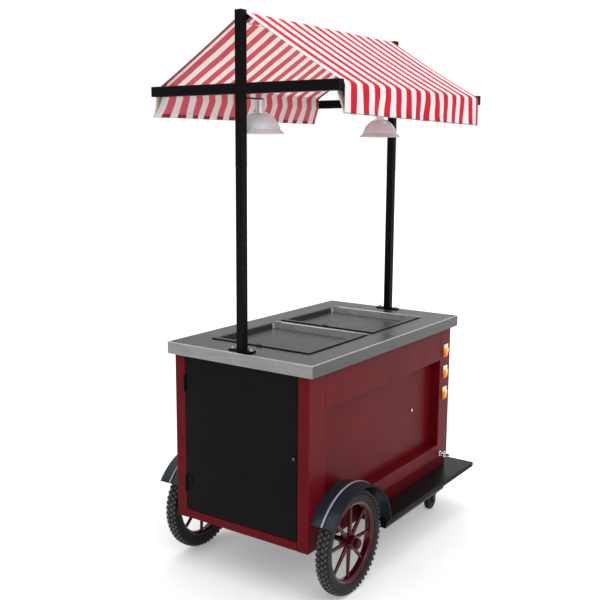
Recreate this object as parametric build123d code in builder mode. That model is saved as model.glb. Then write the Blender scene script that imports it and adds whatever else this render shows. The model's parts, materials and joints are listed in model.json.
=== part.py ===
"""Street food cart for roasted chestnuts: a painted cabinet on two spoked wheels and two casters,
a steel worktop with two lidded roasting pans, and a striped canopy on two posts with hanging lamps.

Millimetres. X runs along the cart from the door end to the platform end, the switches face -Y, Z is up.
The origin is on the ground, under the middle of the whole cart.
"""
import os
from math import asin, cos, degrees, radians, sin

from build123d import *

os.makedirs("parts", exist_ok=True)

# Worktop and cabinet
counter_length = 1200.0
counter_width = 692.0
counter_top = 937.0
counter_edge = 47.0
counter_sheet = 2.0
counter_corner = 5.0
counter_round = 3.0
end_overhang = 18.0
side_overhang = 26.0
body_bottom = 217.0
near_stile = 110.0
far_stile = 100.0
corner_depth = 49.0
recess_depth = 43.0
top_rail_height = 191.0
bottom_rail_height = 61.0
panel_sheet = 2.0
seam = 0.4

# Chassis under the cabinet
sill_height = 63.0
sill_set_back = 10.0
sill_width = 40.0
chassis_wall = 3.0
cross_tube = 40.0
cross_count = 3
floor_sheet = 2.0
bracket_plate = 8.0
bracket_width = 60.0
bracket_drop = 26.0
bracket_top_gap = 10.0

# Running boards and platform
platform_reach = 108.0
board_reach = 90.0
board_thickness = 20.0
board_sheet = 2.0
lip_height = 13.0
lip_width = 25.0
lip_set_back = 5.0
lip_wall = 1.5
lip_end_gap = 310.0

# Road wheels
wheel_radius = 206.0
wheel_track = 741.0
axle_from_door = 207.0
axle_radius = 10.0
tyre_width = 50.0
tyre_shoulder = 9.0
tyre_crown = 3.0
rim_radius = 166.0
rim_depth = 24.0
rim_width = 40.0
rim_wall = 5.0
rim_slope = 8.0
hub_radius = 28.0
hub_length = 60.0
spoke_count = 8
spoke_root = 20.0
spoke_tip = 14.0
spoke_depth = 12.0
spoke_bite = 2.5
spoke_turn = -3.0
cap_radius = 20.0
cap_length = 17.0
cap_wall = 2.5
cap_end = 3.0
cap_round = 6.0
nut_radius = 15.0
nut_length = 9.0
collar_radius = 16.0
collar_length = 8.0
axle_end = 2.0
running_gap = 0.05
side_gap = 0.5

# Mudguards over the road wheels
guard_radius = 240.0
guard_drop = 11.0
guard_width = 105.0
guard_sheet = 2.5
guard_lip = 9.0
guard_bead = 6.0
guard_end = 145.0

# Casters under the platform end
caster_radius = 40.0
caster_width = 26.0
caster_trail = 25.0
caster_inset = 57.0
caster_pin_radius = 4.0
caster_boss = 8.0
caster_round = 6.5
fork_sheet = 3.0
fork_gap = 2.0
fork_length = 44.0
fork_top_gap = 22.0
king_pin_radius = 5.0
king_head_radius = 9.0
king_head = 3.0
race_radius = 20.0
race_height = 5.0
caster_plate = 70.0
caster_plate_thickness = 5.0
leg_tube = 40.0
leg_wall = 2.5

# Roasting wells, pans and lids
well_near_margin = 140.0
well_far_margin = 150.0
well_width = 476.0
well_bridge = 30.0
well_depth = 5.0
ledge = 14.0
pan_depth = 150.0
pan_sheet = 1.5
pan_corner = 6.0
pan_gap = 2.0
lid_gap = 4.0
lid_lift = 0.3
lid_height = 8.0
lid_sheet = 1.5
lid_rim = 18.0
lid_dish = 20.0
lid_dish_corner = 12.0
hinge_strip = 27.0
hinge_rod_radius = 2.5
knuckle_radius = 4.5
knuckle_length = 70.0
knuckle_pitch = 76.0
pull_width = 30.0
pull_foot = 14.0
pull_height = 8.0
pull_round = 4.0
heater_radius = 4.0
heater_margin = 45.0
heater_runs = 6
heater_tail = 30.0
heater_bend = 0.45

# Door at the near end
door_thickness = 25.0
door_sheet = 2.0
door_gap = 3.0
door_top_gap = 4.0
door_strip = 28.0
end_rail_height = 35.0
end_rail_depth = 30.0
door_knuckle_radius = 4.0
door_knuckle_length = 32.0
door_pin_radius = 2.2
door_leaf_width = 30.0
jamb_leaf = 20.0
door_leaf_sheet = 2.0
door_hinge_inset = 110.0
hinge_stand_off = 0.3
lock_radius = 7.0
lock_knob = 7.0
knob_round = 2.0
lock_shaft_radius = 5.0
lock_height = 357.0
cam_length = 26.0
cam_width = 12.0
cam_sheet = 3.0
slot_width = 2.4
slot_depth = 2.0

# Posts and canopy frame
post_size = 32.0
post_wall = 2.5
post_inset = 40.0
post_rise = 2.0
foot_length = 34.0
foot_width = 106.0
foot_thickness = 6.0
bolt_spacing = 86.0
bolt_radius = 4.0
bolt_head_radius = 7.0
bolt_head = 5.5
washer_radius = 9.0
washer = 1.5
bolt_gap = 0.25
arm_reach = 425.0
arm_height = 38.0
arm_level = 1900.0
arm_wall = 2.0
bar_size = 25.0
bar_wall = 2.0
bar_drop = 12.0
ridge_height = 2170.0
canopy_thickness = 3.5
canopy_gap = 0.4
canopy_end_gap = 0.5
canopy_sag = 10.0
valance_drop = 102.0

# Lamps
lamp_from_post = 112.0
shade_rim = 1743.0
shade_radius = 92.5
shade_dome_radius = 76.0
shade_height = 75.0
shade_collar_radius = 30.0
shade_sheet = 2.0
shade_lip = 16.0
shade_bow_radius = 64.5
shade_bow_height = 45.0
holder_radius = 17.0
holder_height = 48.0
holder_flange = 3.0
bracket_bar = 20.0
bracket_sheet = 5.0
bracket_tab = 40.0
bulb_radius = 30.0
bulb_neck_radius = 13.0
bulb_neck = 5.0
bulb_length = 64.0
bulb_glass = 1.5

# Switches and wiring
switch_top = 782.0
switch_pitch = 100.0
switch_width = 38.0
switch_height = 58.0
switch_frame = 5.0
switch_border = 5.0
switch_body_depth = 30.0
rocker_gap = 0.6
rocker_rise = 9.0
rocker_edge = 2.0
rocker_crown = 3.5
rocker_tilt = 6.0
trunnion_radius = 1.5
trunnion_length = 2.0
box_width = 90.0
box_depth = 50.0
box_margin = 45.0
box_sheet = 1.5
inlet_size = 56.0
inlet_flange = 5.0
inlet_body = 40.0
inlet_depth = 38.0
inlet_socket = 28.0
inlet_socket_depth = 24.0
inlet_level = 420.0
inlet_side = 160.0

# Drain tap and quarter-turn panel lock on the front
tap_from_end = 77.0
tap_level = 296.0
tap_flange_radius = 13.0
tap_flange = 4.0
tap_neck_radius = 6.0
tap_body_radius = 10.0
tap_body_length = 20.0
tap_reach = 22.0
tap_collar_radius = 8.0
tap_collar = 12.0
tap_spout_radius = 5.5
tap_spout_bore = 3.5
tap_spout_length = 16.0
tap_stem_radius = 3.0
tap_stem_height = 3.0
tap_lever_length = 34.0
tap_lever_width = 9.0
tap_lever_thickness = 4.0
tap_lever_hub = 8.0
tap_lever_round = 4.0
pipe_radius = 8.0
pipe_wall = 1.5
pipe_bend = 24.0
pipe_inset = 42.0
pipe_rise_gap = 60.0
panel_lock_from_end = 294.0
panel_lock_level = 550.0
panel_lock_radius = 7.0
panel_lock_knob = 7.0

# Places worked out from the sizes above
body_length = counter_length - 2 * end_overhang
body_side = counter_width / 2 - side_overhang
counter_x = (counter_length - body_length) / 4 - platform_reach / 2
body_near = counter_x - body_length / 2
body_far = counter_x + body_length / 2
body_top = counter_top - counter_sheet
platform_far = body_far + platform_reach
sill_top = body_bottom + sill_height
sill_outer = body_side - sill_set_back
sill_inner = sill_outer - sill_width
corner_inner = body_side - corner_depth
stile_near_edge = body_near + near_stile
stile_far_edge = body_far - far_stile
panel_low = sill_top + bottom_rail_height
panel_high = body_top - top_rail_height
panel_face = body_side - recess_depth
board_side = body_side + board_reach
board_low = body_bottom - board_thickness
axle_x = body_near + axle_from_door
wheel_y = wheel_track / 2
guard_z = wheel_radius - guard_drop
guard_start = degrees(asin((body_bottom + seam - guard_z) / (guard_radius - guard_lip)))
board_near = axle_x + guard_radius - guard_lip - lip_set_back
platform_near = body_far - sill_width
post_near = counter_x - counter_length / 2 + post_inset
post_far = counter_x + counter_length / 2 - post_inset
post_top = ridge_height + post_rise
arm_low = arm_level - arm_height / 2
arm_high = arm_level + arm_height / 2
bar_high = arm_high - bar_drop
well_length = (counter_length - well_near_margin - well_far_margin - well_bridge) / 2
ledge_top = counter_top - well_depth
flange_top = ledge_top + pan_sheet
pan_floor = flange_top - pan_depth
lid_low = flange_top + lid_lift
lid_high = lid_low + lid_height
door_low = body_bottom + end_rail_height + door_gap
door_high = counter_top - counter_edge - door_top_gap
door_half = corner_inner - door_gap
switch_x = body_far - far_stile / 2
switch_levels = [switch_top - index * switch_pitch for index in range(3)]
tap_x = body_far - tap_from_end
front = -1
back = 1


def block(low, high, mode=Mode.ADD):
    """A box between two opposite corners."""
    size = [top - bottom for bottom, top in zip(low, high)]
    middle = tuple((top + bottom) / 2 for bottom, top in zip(low, high))
    with Locations(middle):
        Box(*size, mode=mode)


def tube(low, high, wall, along, closed=0.0):
    """A rectangular tube open at both ends, or closed by a wall at its high end."""
    block(low, high)
    inner_low = [value if axis == along else value + wall for axis, value in enumerate(low)]
    inner_high = [value - closed if axis == along else value - wall for axis, value in enumerate(high)]
    block(inner_low, inner_high, Mode.SUBTRACT)


def across(side, inner, outer):
    """The lower and higher Y of a span that lies between two distances on one side of the cart."""
    return sorted((side * inner, side * outer))


def rod(start, direction, radius, length, mode=Mode.ADD):
    """A round bar from a point along a direction."""
    with Locations(Plane(origin=start, z_dir=direction).location):
        Cylinder(radius, length, align=(Align.CENTER, Align.CENTER, Align.MIN), mode=mode)


def keep(piece, label):
    """Names the finished piece and writes it."""
    piece.part.label = label
    export_step(piece.part, f"parts/{label}.step")


# Chassis: two long sills with plates for the axle, cross tubes and the cabinet floor
with BuildPart() as chassis_sills:
    for side in (front, back):
        y_low, y_high = across(side, sill_inner, sill_outer)
        sill_start = stile_near_edge + seam
        tube((sill_start, y_low, body_bottom), (body_far, y_high, sill_top), chassis_wall, 0)
        y_low, y_high = across(side, sill_inner - bracket_plate, sill_inner)
        plate_low = (axle_x - bracket_width / 2, y_low, wheel_radius - bracket_drop)
        block(plate_low, (axle_x + bracket_width / 2, y_high, sill_top - bracket_top_gap))
        rod((axle_x, y_low, wheel_radius), (0, 1, 0), axle_radius + running_gap, bracket_plate, Mode.SUBTRACT)
keep(chassis_sills, "chassis_sills")

with BuildPart() as chassis_cross_tubes:
    cross_start = stile_near_edge + seam
    cross_step = (body_far - sill_set_back - cross_tube - cross_start) / cross_count
    for index in range(cross_count):
        x_low = cross_start + index * cross_step
        cross_low = (x_low, -sill_inner, sill_top - cross_tube)
        tube(cross_low, (x_low + cross_tube, sill_inner, sill_top), chassis_wall, 1)
    end_cross = body_far - sill_set_back
    end_low = (end_cross - cross_tube, -sill_inner, body_bottom)
    tube(end_low, (end_cross, sill_inner, sill_top), chassis_wall, 1)
keep(chassis_cross_tubes, "chassis_cross_tubes")

with BuildPart() as floor_panel:
    floor_low = (body_near + end_rail_depth, -corner_inner + seam, sill_top)
    block(floor_low, (body_far - corner_depth - seam, corner_inner - seam, sill_top + floor_sheet))
keep(floor_panel, "floor_panel")


# Cabinet: face frames of folded tubes with sunken panels, the door surround and the far end
def make_face_frame(side, label):
    y_low, y_high = across(side, corner_inner, body_side)
    rail_start = stile_near_edge + seam
    rail_end = stile_far_edge - seam
    with BuildPart() as face_frame:
        tube((body_near, y_low, body_bottom), (stile_near_edge, y_high, body_top), panel_sheet, 2)
        tube((stile_far_edge, y_low, sill_top), (body_far, y_high, body_top), panel_sheet, 2)
        tube((rail_start, y_low, panel_high), (rail_end, y_high, body_top), panel_sheet, 0)
        tube((rail_start, y_low, sill_top), (rail_end, y_high, panel_low), panel_sheet, 0)
        if side == front:
            for level in switch_levels:
                half_x = switch_width / 2 - switch_border + seam
                half_z = switch_height / 2 - switch_border + seam
                cut_low = (switch_x - half_x, y_low, level - half_z)
                cut_high = (switch_x + half_x, y_low + panel_sheet, level + half_z)
                block(cut_low, cut_high, Mode.SUBTRACT)
            hole_radius = tap_neck_radius + bolt_gap
            rod((tap_x, y_low, tap_level), (0, 1, 0), hole_radius, corner_depth, Mode.SUBTRACT)
            slot_start = body_near + door_thickness - door_sheet + seam
            slot_z = body_bottom + lock_height
            keeper_low = (slot_start, y_high - panel_sheet, slot_z - cam_width / 2 - seam)
            slot_top = slot_z + cam_length - cam_width / 2 + seam
            keeper_high = (slot_start + 2 * cam_sheet + seam, y_high, slot_top)
            block(keeper_low, keeper_high, Mode.SUBTRACT)
    keep(face_frame, label)


make_face_frame(front, "front_face_frame")
make_face_frame(back, "back_face_frame")


def make_side_panel(side, label):
    y_low, y_high = across(side, corner_inner, panel_face)
    lining_low, lining_high = across(side, corner_inner, panel_face - panel_sheet)
    x_low = stile_near_edge + seam
    x_high = stile_far_edge - seam
    with BuildPart() as side_panel:
        block((x_low, y_low, panel_low), (x_high, y_high, panel_high))
        fold_low = (x_low + panel_sheet, lining_low, panel_low + panel_sheet)
        block(fold_low, (x_high - panel_sheet, lining_high, panel_high - panel_sheet), Mode.SUBTRACT)
        if side == front:
            lock_start = (body_far - panel_lock_from_end, y_low, panel_lock_level)
            rod(lock_start, (0, 1, 0), lock_shaft_radius + running_gap, corner_depth, Mode.SUBTRACT)
    keep(side_panel, label)


make_side_panel(front, "front_panel")
make_side_panel(back, "back_panel")

with BuildPart() as door_surround:
    rail_half = corner_inner - seam
    rail_far = body_near + end_rail_depth
    lower_top = body_bottom + end_rail_height
    tube((body_near, -rail_half, body_bottom), (rail_far, rail_half, lower_top), panel_sheet, 1)
    tube((body_near, -rail_half, door_high + door_gap), (rail_far, rail_half, body_top), panel_sheet, 1)
keep(door_surround, "door_surround")

with BuildPart() as far_end_frame:
    far_rail_low = body_far - corner_depth
    far_half = corner_inner - seam
    tube((far_rail_low, -far_half, panel_high), (body_far, far_half, body_top), panel_sheet, 1)
    tube((far_rail_low, -far_half, sill_top), (body_far, far_half, panel_low), panel_sheet, 1)
keep(far_end_frame, "far_end_frame")

with BuildPart() as far_end_panel:
    far_face = body_far - recess_depth
    block((far_rail_low, -far_half, panel_low), (far_face, far_half, panel_high))
    far_fold = (far_rail_low, -far_half + panel_sheet, panel_low + panel_sheet)
    far_lining = (far_face - panel_sheet, far_half - panel_sheet, panel_high - panel_sheet)
    block(far_fold, far_lining, Mode.SUBTRACT)
    inlet_cut = inlet_body / 2 + seam
    cut_low = (far_rail_low, inlet_side - inlet_cut, inlet_level - inlet_cut)
    block(cut_low, (far_face, inlet_side + inlet_cut, inlet_level + inlet_cut), Mode.SUBTRACT)
keep(far_end_panel, "far_end_panel")

# Running boards along both sides, the platform at the far end and the lip rails under the boards
with BuildPart() as running_boards:
    for side in (front, back):
        y_low, y_high = across(side, sill_inner, board_side)
        block((board_near, y_low, board_low), (platform_near - seam, y_high, body_bottom))
        hollow_low = (board_near + board_sheet, y_low + board_sheet, board_low)
        hollow_high = (platform_near - seam - board_sheet, y_high - board_sheet, body_bottom - board_sheet)
        block(hollow_low, hollow_high, Mode.SUBTRACT)
keep(running_boards, "running_boards")

with BuildPart() as end_platform:
    block((platform_near, -board_side, board_low), (platform_far, board_side, body_bottom))
    hollow_low = (platform_near + board_sheet, -board_side + board_sheet, board_low)
    hollow_high = (platform_far - board_sheet, board_side - board_sheet, body_bottom - board_sheet)
    block(hollow_low, hollow_high, Mode.SUBTRACT)
keep(end_platform, "end_platform")

with BuildPart() as lip_rails:
    for side in (front, back):
        lip_outer = board_side - lip_set_back
        y_low, y_high = across(side, lip_outer - lip_width, lip_outer)
        lip_low = (board_near, y_low, board_low - lip_height)
        tube(lip_low, (platform_far - lip_end_gap, y_high, board_low), lip_wall, 0)
        web_low, web_high = across(side, lip_outer - lip_width, lip_outer - lip_width + lip_wall)
        web_top = body_bottom - board_sheet
        block((board_near + board_sheet, web_low, board_low), (platform_far - lip_end_gap, web_high, web_top))
keep(lip_rails, "lip_rails")


# Mudguards: a rolled sheet with a bead along its middle and a turned-down outer lip
def make_mudguard(side, label):
    start = radians(guard_start)
    profile_plane = Plane(origin=(axle_x, 0, guard_z), x_dir=(0, 1, 0), z_dir=(sin(start), 0, -cos(start)))
    inner = side * body_side
    outer = side * (body_side + guard_width)
    lip_edge = side * (body_side + guard_width - guard_sheet)
    bead = side * (body_side + guard_width / 2)
    crown = guard_radius
    under = guard_radius - guard_sheet
    lip_low = guard_radius - guard_lip
    with BuildPart() as mudguard:
        with BuildSketch(profile_plane):
            with BuildLine():
                Line((inner, under), (inner, crown))
                Line((inner, crown), (bead - side * guard_bead, crown))
                ThreePointArc((bead - side * guard_bead, crown), (bead, crown + guard_bead),
                              (bead + side * guard_bead, crown))
                Line((bead + side * guard_bead, crown), (outer, crown))
                Line((outer, crown), (outer, lip_low))
                Line((outer, lip_low), (lip_edge, lip_low))
                Line((lip_edge, lip_low), (lip_edge, under))
                Line((lip_edge, under), (inner, under))
            make_face()
        turn_axis = Axis((axle_x, 0, guard_z), (0, -1, 0))
        revolve(axis=turn_axis, revolution_arc=guard_end - guard_start)
    keep(mudguard, label)


make_mudguard(front, "front_mudguard")
make_mudguard(back, "back_mudguard")

# Road wheels on a fixed axle
wheel_axis = Axis((axle_x, 0, wheel_radius), (0, 1, 0))
wheel_profile = Plane(origin=(axle_x, 0, wheel_radius), x_dir=(0, 1, 0), z_dir=(1, 0, 0))
hub_inner = wheel_y - hub_length / 2
hub_outer = wheel_y + hub_length / 2

with BuildPart() as axle:
    shaft_end = hub_outer + side_gap + nut_length + axle_end
    rod((axle_x, -shaft_end, wheel_radius), (0, 1, 0), axle_radius, 2 * shaft_end)
    for side in (front, back):
        collar_start = (axle_x, side * (hub_inner - side_gap), wheel_radius)
        rod(collar_start, (0, -side, 0), collar_radius, collar_length)
        nut_plane = Plane(origin=(axle_x, side * (hub_outer + side_gap), wheel_radius), z_dir=(0, side, 0))
        with BuildSketch(nut_plane):
            RegularPolygon(nut_radius, 6)
        extrude(amount=nut_length)
keep(axle, "axle")


def make_wheel(side, label):
    middle = side * wheel_y
    rim_inner = rim_radius - rim_depth
    half = rim_width / 2
    rim_outline = [
        (middle - half, rim_radius),
        (middle - half, rim_inner + rim_slope),
        (middle - half + rim_slope, rim_inner),
        (middle + half - rim_slope, rim_inner),
        (middle + half, rim_inner + rim_slope),
        (middle + half, rim_radius),
        (middle + half - rim_wall, rim_radius),
        (middle + half - rim_wall, rim_inner + rim_slope + rim_wall / 2),
        (middle + half - rim_slope - rim_wall / 2, rim_inner + rim_wall),
        (middle - half + rim_slope + rim_wall / 2, rim_inner + rim_wall),
        (middle - half + rim_wall, rim_inner + rim_slope + rim_wall / 2),
        (middle - half + rim_wall, rim_radius),
    ]
    spoke_low = hub_radius - spoke_bite
    spoke_high = rim_inner + spoke_bite
    spoke_half = (spoke_high - spoke_low) / 2
    spoke_outline = [
        (-spoke_half, -spoke_root / 2),
        (spoke_half, -spoke_tip / 2),
        (spoke_half, spoke_tip / 2),
        (-spoke_half, spoke_root / 2),
    ]
    wheel_plane = Plane(origin=(axle_x, middle, wheel_radius), x_dir=(1, 0, 0), z_dir=(0, -1, 0))
    with BuildPart() as wheel:
        with BuildSketch(wheel_profile):
            Polygon(*rim_outline, align=None)
        revolve(axis=wheel_axis)
        hub_start = (axle_x, middle - hub_length / 2, wheel_radius)
        rod(hub_start, (0, 1, 0), hub_radius, hub_length)
        with BuildSketch(wheel_plane):
            with PolarLocations((spoke_low + spoke_high) / 2, spoke_count, start_angle=spoke_turn):
                Polygon(*spoke_outline, align=None)
        extrude(amount=spoke_depth / 2, both=True)
        rod(hub_start, (0, 1, 0), axle_radius + running_gap, hub_length, Mode.SUBTRACT)
    keep(wheel, label)


def make_tyre(side, label):
    middle = side * wheel_y
    inner = rim_radius + running_gap
    half = tyre_width / 2
    bulge = (inner + wheel_radius) / 2
    with BuildPart() as tyre:
        with BuildSketch(wheel_profile):
            with BuildLine():
                Line((middle - rim_width / 2, inner), (middle + rim_width / 2, inner))
                Line((middle + rim_width / 2, inner), (middle + half, bulge))
                Line((middle + half, bulge), (middle + half, wheel_radius - 2 * tyre_shoulder))
                Line((middle + half, wheel_radius - 2 * tyre_shoulder),
                     (middle + half - tyre_shoulder, wheel_radius - tyre_crown))
                ThreePointArc((middle + half - tyre_shoulder, wheel_radius - tyre_crown),
                              (middle, wheel_radius),
                              (middle - half + tyre_shoulder, wheel_radius - tyre_crown))
                Line((middle - half + tyre_shoulder, wheel_radius - tyre_crown),
                     (middle - half, wheel_radius - 2 * tyre_shoulder))
                Line((middle - half, wheel_radius - 2 * tyre_shoulder), (middle - half, bulge))
                Line((middle - half, bulge), (middle - rim_width / 2, inner))
            make_face()
        revolve(axis=wheel_axis)
    keep(tyre, label)


def make_hub_cap(side, label):
    cap_start = (axle_x, side * hub_outer, wheel_radius)
    with BuildPart() as hub_cap:
        rod(cap_start, (0, side, 0), cap_radius, cap_length)
        rim_edge = hub_cap.edges().filter_by(GeomType.CIRCLE).sort_by(Axis.Y)[-1 if side == back else 0]
        fillet(rim_edge, cap_round)
        rod(cap_start, (0, side, 0), cap_radius - cap_wall, cap_length - cap_end, Mode.SUBTRACT)
    keep(hub_cap, label)


for side, place in ((front, "front"), (back, "back")):
    make_wheel(side, f"{place}_wheel")
    make_tyre(side, f"{place}_tyre")
    make_hub_cap(side, f"{place}_hub_cap")

# Swivel casters on short legs under the platform
king_x = platform_near + board_sheet + seam + leg_tube / 2
fork_head_top = 2 * caster_radius + fork_top_gap
race_low = fork_head_top + side_gap
plate_low = race_low + race_height
plate_high = plate_low + caster_plate_thickness
fork_inner = caster_width / 2 + fork_gap
fork_outer = fork_inner + fork_sheet

with BuildPart() as caster_mounts:
    for side in (front, back):
        king_y = side * (body_side - caster_inset)
        half = caster_plate / 2
        leg_half = leg_tube / 2
        block((king_x - half, king_y - half, plate_low), (king_x + half, king_y + half, plate_high))
        rod((king_x, king_y, race_low), (0, 0, 1), race_radius, race_height)
        leg_low = (king_x - leg_half, king_y - leg_half, plate_high)
        leg_top = body_bottom - board_sheet
        block(leg_low, (king_x + leg_half, king_y + leg_half, leg_top))
        hollow_low = (king_x - leg_half + leg_wall, king_y - leg_half + leg_wall, plate_high)
        hollow_high = (king_x + leg_half - leg_wall, king_y + leg_half - leg_wall, leg_top)
        block(hollow_low, hollow_high, Mode.SUBTRACT)
        pin_low = fork_head_top - fork_sheet - side_gap
        rod((king_x, king_y, pin_low), (0, 0, 1), king_pin_radius, race_low - pin_low)
        rod((king_x, king_y, pin_low - king_head), (0, 0, 1), king_head_radius, king_head)
keep(caster_mounts, "caster_mounts")


def make_caster_fork(side, label):
    king_y = side * (body_side - caster_inset)
    wheel_x = king_x - caster_trail
    head_low = fork_head_top - fork_sheet
    cheek = [
        (king_x - fork_length / 2, fork_head_top),
        (king_x + fork_length / 2, fork_head_top),
        (king_x + fork_length / 2, head_low - fork_sheet),
        (wheel_x + caster_boss, caster_radius - caster_boss),
        (wheel_x - caster_boss, caster_radius - caster_boss),
        (wheel_x - caster_boss, caster_radius + caster_boss),
    ]
    with BuildPart() as caster_fork:
        head_start = (king_x - fork_length / 2, king_y - fork_outer, head_low)
        block(head_start, (king_x + fork_length / 2, king_y + fork_outer, fork_head_top))
        for cheek_y in (king_y - fork_inner, king_y + fork_outer):
            with BuildSketch(Plane(origin=(0, cheek_y, 0), x_dir=(1, 0, 0), z_dir=(0, -1, 0))):
                Polygon(*cheek, align=None)
            extrude(amount=fork_sheet)
        rod((king_x, king_y, head_low), (0, 0, 1), king_pin_radius + running_gap, fork_sheet, Mode.SUBTRACT)
        pin_start = (wheel_x, king_y - fork_outer - fork_sheet, caster_radius)
        rod(pin_start, (0, 1, 0), caster_pin_radius, 2 * (fork_outer + fork_sheet))
    keep(caster_fork, label)


def make_caster_wheel(side, label):
    king_y = side * (body_side - caster_inset)
    wheel_start = (king_x - caster_trail, king_y - caster_width / 2, caster_radius)
    boss_start = (king_x - caster_trail, king_y - fork_inner + side_gap, caster_radius)
    boss_length = 2 * (fork_inner - side_gap)
    with BuildPart() as caster_wheel:
        rod(wheel_start, (0, 1, 0), caster_radius, caster_width)
        fillet(caster_wheel.edges().filter_by(GeomType.CIRCLE), caster_round)
        rod(boss_start, (0, 1, 0), caster_boss, boss_length)
        rod(boss_start, (0, 1, 0), caster_pin_radius + running_gap, boss_length, Mode.SUBTRACT)
    keep(caster_wheel, label)


for side, place in ((front, "front"), (back, "back")):
    make_caster_fork(side, f"{place}_caster_fork")
    make_caster_wheel(side, f"{place}_caster_wheel")

# Worktop: a folded sheet with two sunken wells, each with a ledge all round
well_starts = {
    "near": counter_x - counter_length / 2 + well_near_margin,
    "far": counter_x + counter_length / 2 - well_far_margin - well_length,
}
well_half = well_width / 2
drain_x = well_starts["far"] + well_length - ledge - pan_gap - pan_corner - pipe_inset
drain_y = -corner_inner + box_depth + 2 * pipe_radius

with BuildPart() as worktop:
    counter_near = counter_x - counter_length / 2
    counter_far = counter_x + counter_length / 2
    counter_half = counter_width / 2
    edge_low = counter_top - counter_edge
    block((counter_near, -counter_half, edge_low), (counter_far, counter_half, counter_top))
    fillet(worktop.edges().filter_by(Axis.Z), counter_corner)
    fillet(worktop.faces().sort_by(Axis.Z)[-1].edges(), counter_round)
    under_low = (counter_near + counter_sheet, -counter_half + counter_sheet, edge_low)
    block(under_low, (counter_far - counter_sheet, counter_half - counter_sheet, body_top), Mode.SUBTRACT)
    for well_near in well_starts.values():
        well_far = well_near + well_length
        wall_low = (well_near - counter_sheet, -well_half - counter_sheet, ledge_top - counter_sheet)
        block(wall_low, (well_far + counter_sheet, well_half + counter_sheet, body_top))
        block((well_near, -well_half, ledge_top), (well_far, well_half, counter_top), Mode.SUBTRACT)
        hole_low = (well_near + ledge, -well_half + ledge, ledge_top - counter_sheet)
        block(hole_low, (well_far - ledge, well_half - ledge, ledge_top), Mode.SUBTRACT)
    for post_x in (post_near, post_far):
        for bolt_y in (-bolt_spacing / 2, bolt_spacing / 2):
            rod((post_x, bolt_y, body_top), (0, 0, 1), bolt_radius + bolt_gap, counter_sheet, Mode.SUBTRACT)
keep(worktop, "worktop")


# Roasting pans that hang in the wells, with a tubular heater under each
def make_pan(place):
    well_middle = well_starts[place] + well_length / 2
    body_x = well_length - 2 * ledge - 2 * pan_gap
    body_y = well_width - 2 * ledge - 2 * pan_gap
    with BuildPart() as pan:
        with BuildSketch(Plane.XY.offset(ledge_top)):
            with Locations((well_middle, 0)):
                Rectangle(well_length - 2 * pan_gap, well_width - 2 * pan_gap)
        extrude(amount=pan_sheet)
        with BuildSketch(Plane.XY.offset(pan_floor)):
            with Locations((well_middle, 0)):
                RectangleRounded(body_x, body_y, pan_corner)
        extrude(amount=pan_depth)
        with BuildSketch(Plane.XY.offset(pan_floor + pan_sheet)):
            with Locations((well_middle, 0)):
                RectangleRounded(body_x - 2 * pan_sheet, body_y - 2 * pan_sheet, pan_corner - pan_sheet)
        extrude(amount=pan_depth, mode=Mode.SUBTRACT)
        if place == "far":
            drain_start = (drain_x, drain_y, pan_floor)
            rod(drain_start, (0, 0, 1), pipe_radius - pipe_wall, pan_sheet, Mode.SUBTRACT)
    keep(pan, f"{place}_pan")


for place in well_starts:
    make_pan(place)


def heater_route(place):
    run_start = well_starts[place] + ledge + heater_margin
    run_end = well_starts[place] + well_length - ledge - heater_margin
    first_y = -well_half + ledge + heater_margin
    pitch = -2 * first_y / (heater_runs - 1)
    level = pan_floor - heater_radius - lid_lift
    bends = []
    for index in range(heater_runs):
        run_y = first_y + index * pitch
        ends = (run_start, run_end) if index % 2 == 0 else (run_end, run_start)
        bends += [(ends[0], run_y, level), (ends[1], run_y, level)]
    bends[0] = (run_start - heater_tail, first_y, level)
    bends[-1] = (run_start - heater_tail, -first_y, level)
    return bends, heater_bend * pitch


with BuildPart() as heaters:
    for place in well_starts:
        bends, bend_radius = heater_route(place)
        with BuildLine() as heater_path:
            FilletPolyline(*bends, radius=bend_radius)
        with BuildSketch(Plane(origin=heater_path.line @ 0, z_dir=heater_path.line % 0)):
            Circle(heater_radius)
        sweep(path=heater_path.line)
keep(heaters, "heaters")


# Lids with a sunken middle, hinged along the far side of each well
def hinge_line(place):
    return well_starts[place] + well_length - hinge_strip


lid_half = well_half - lid_gap
lid_knuckles = [index * 2 * knuckle_pitch for index in (-1, 0, 1)]
strip_knuckles = [knuckle_pitch * index for index in (-1, 1)]


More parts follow.
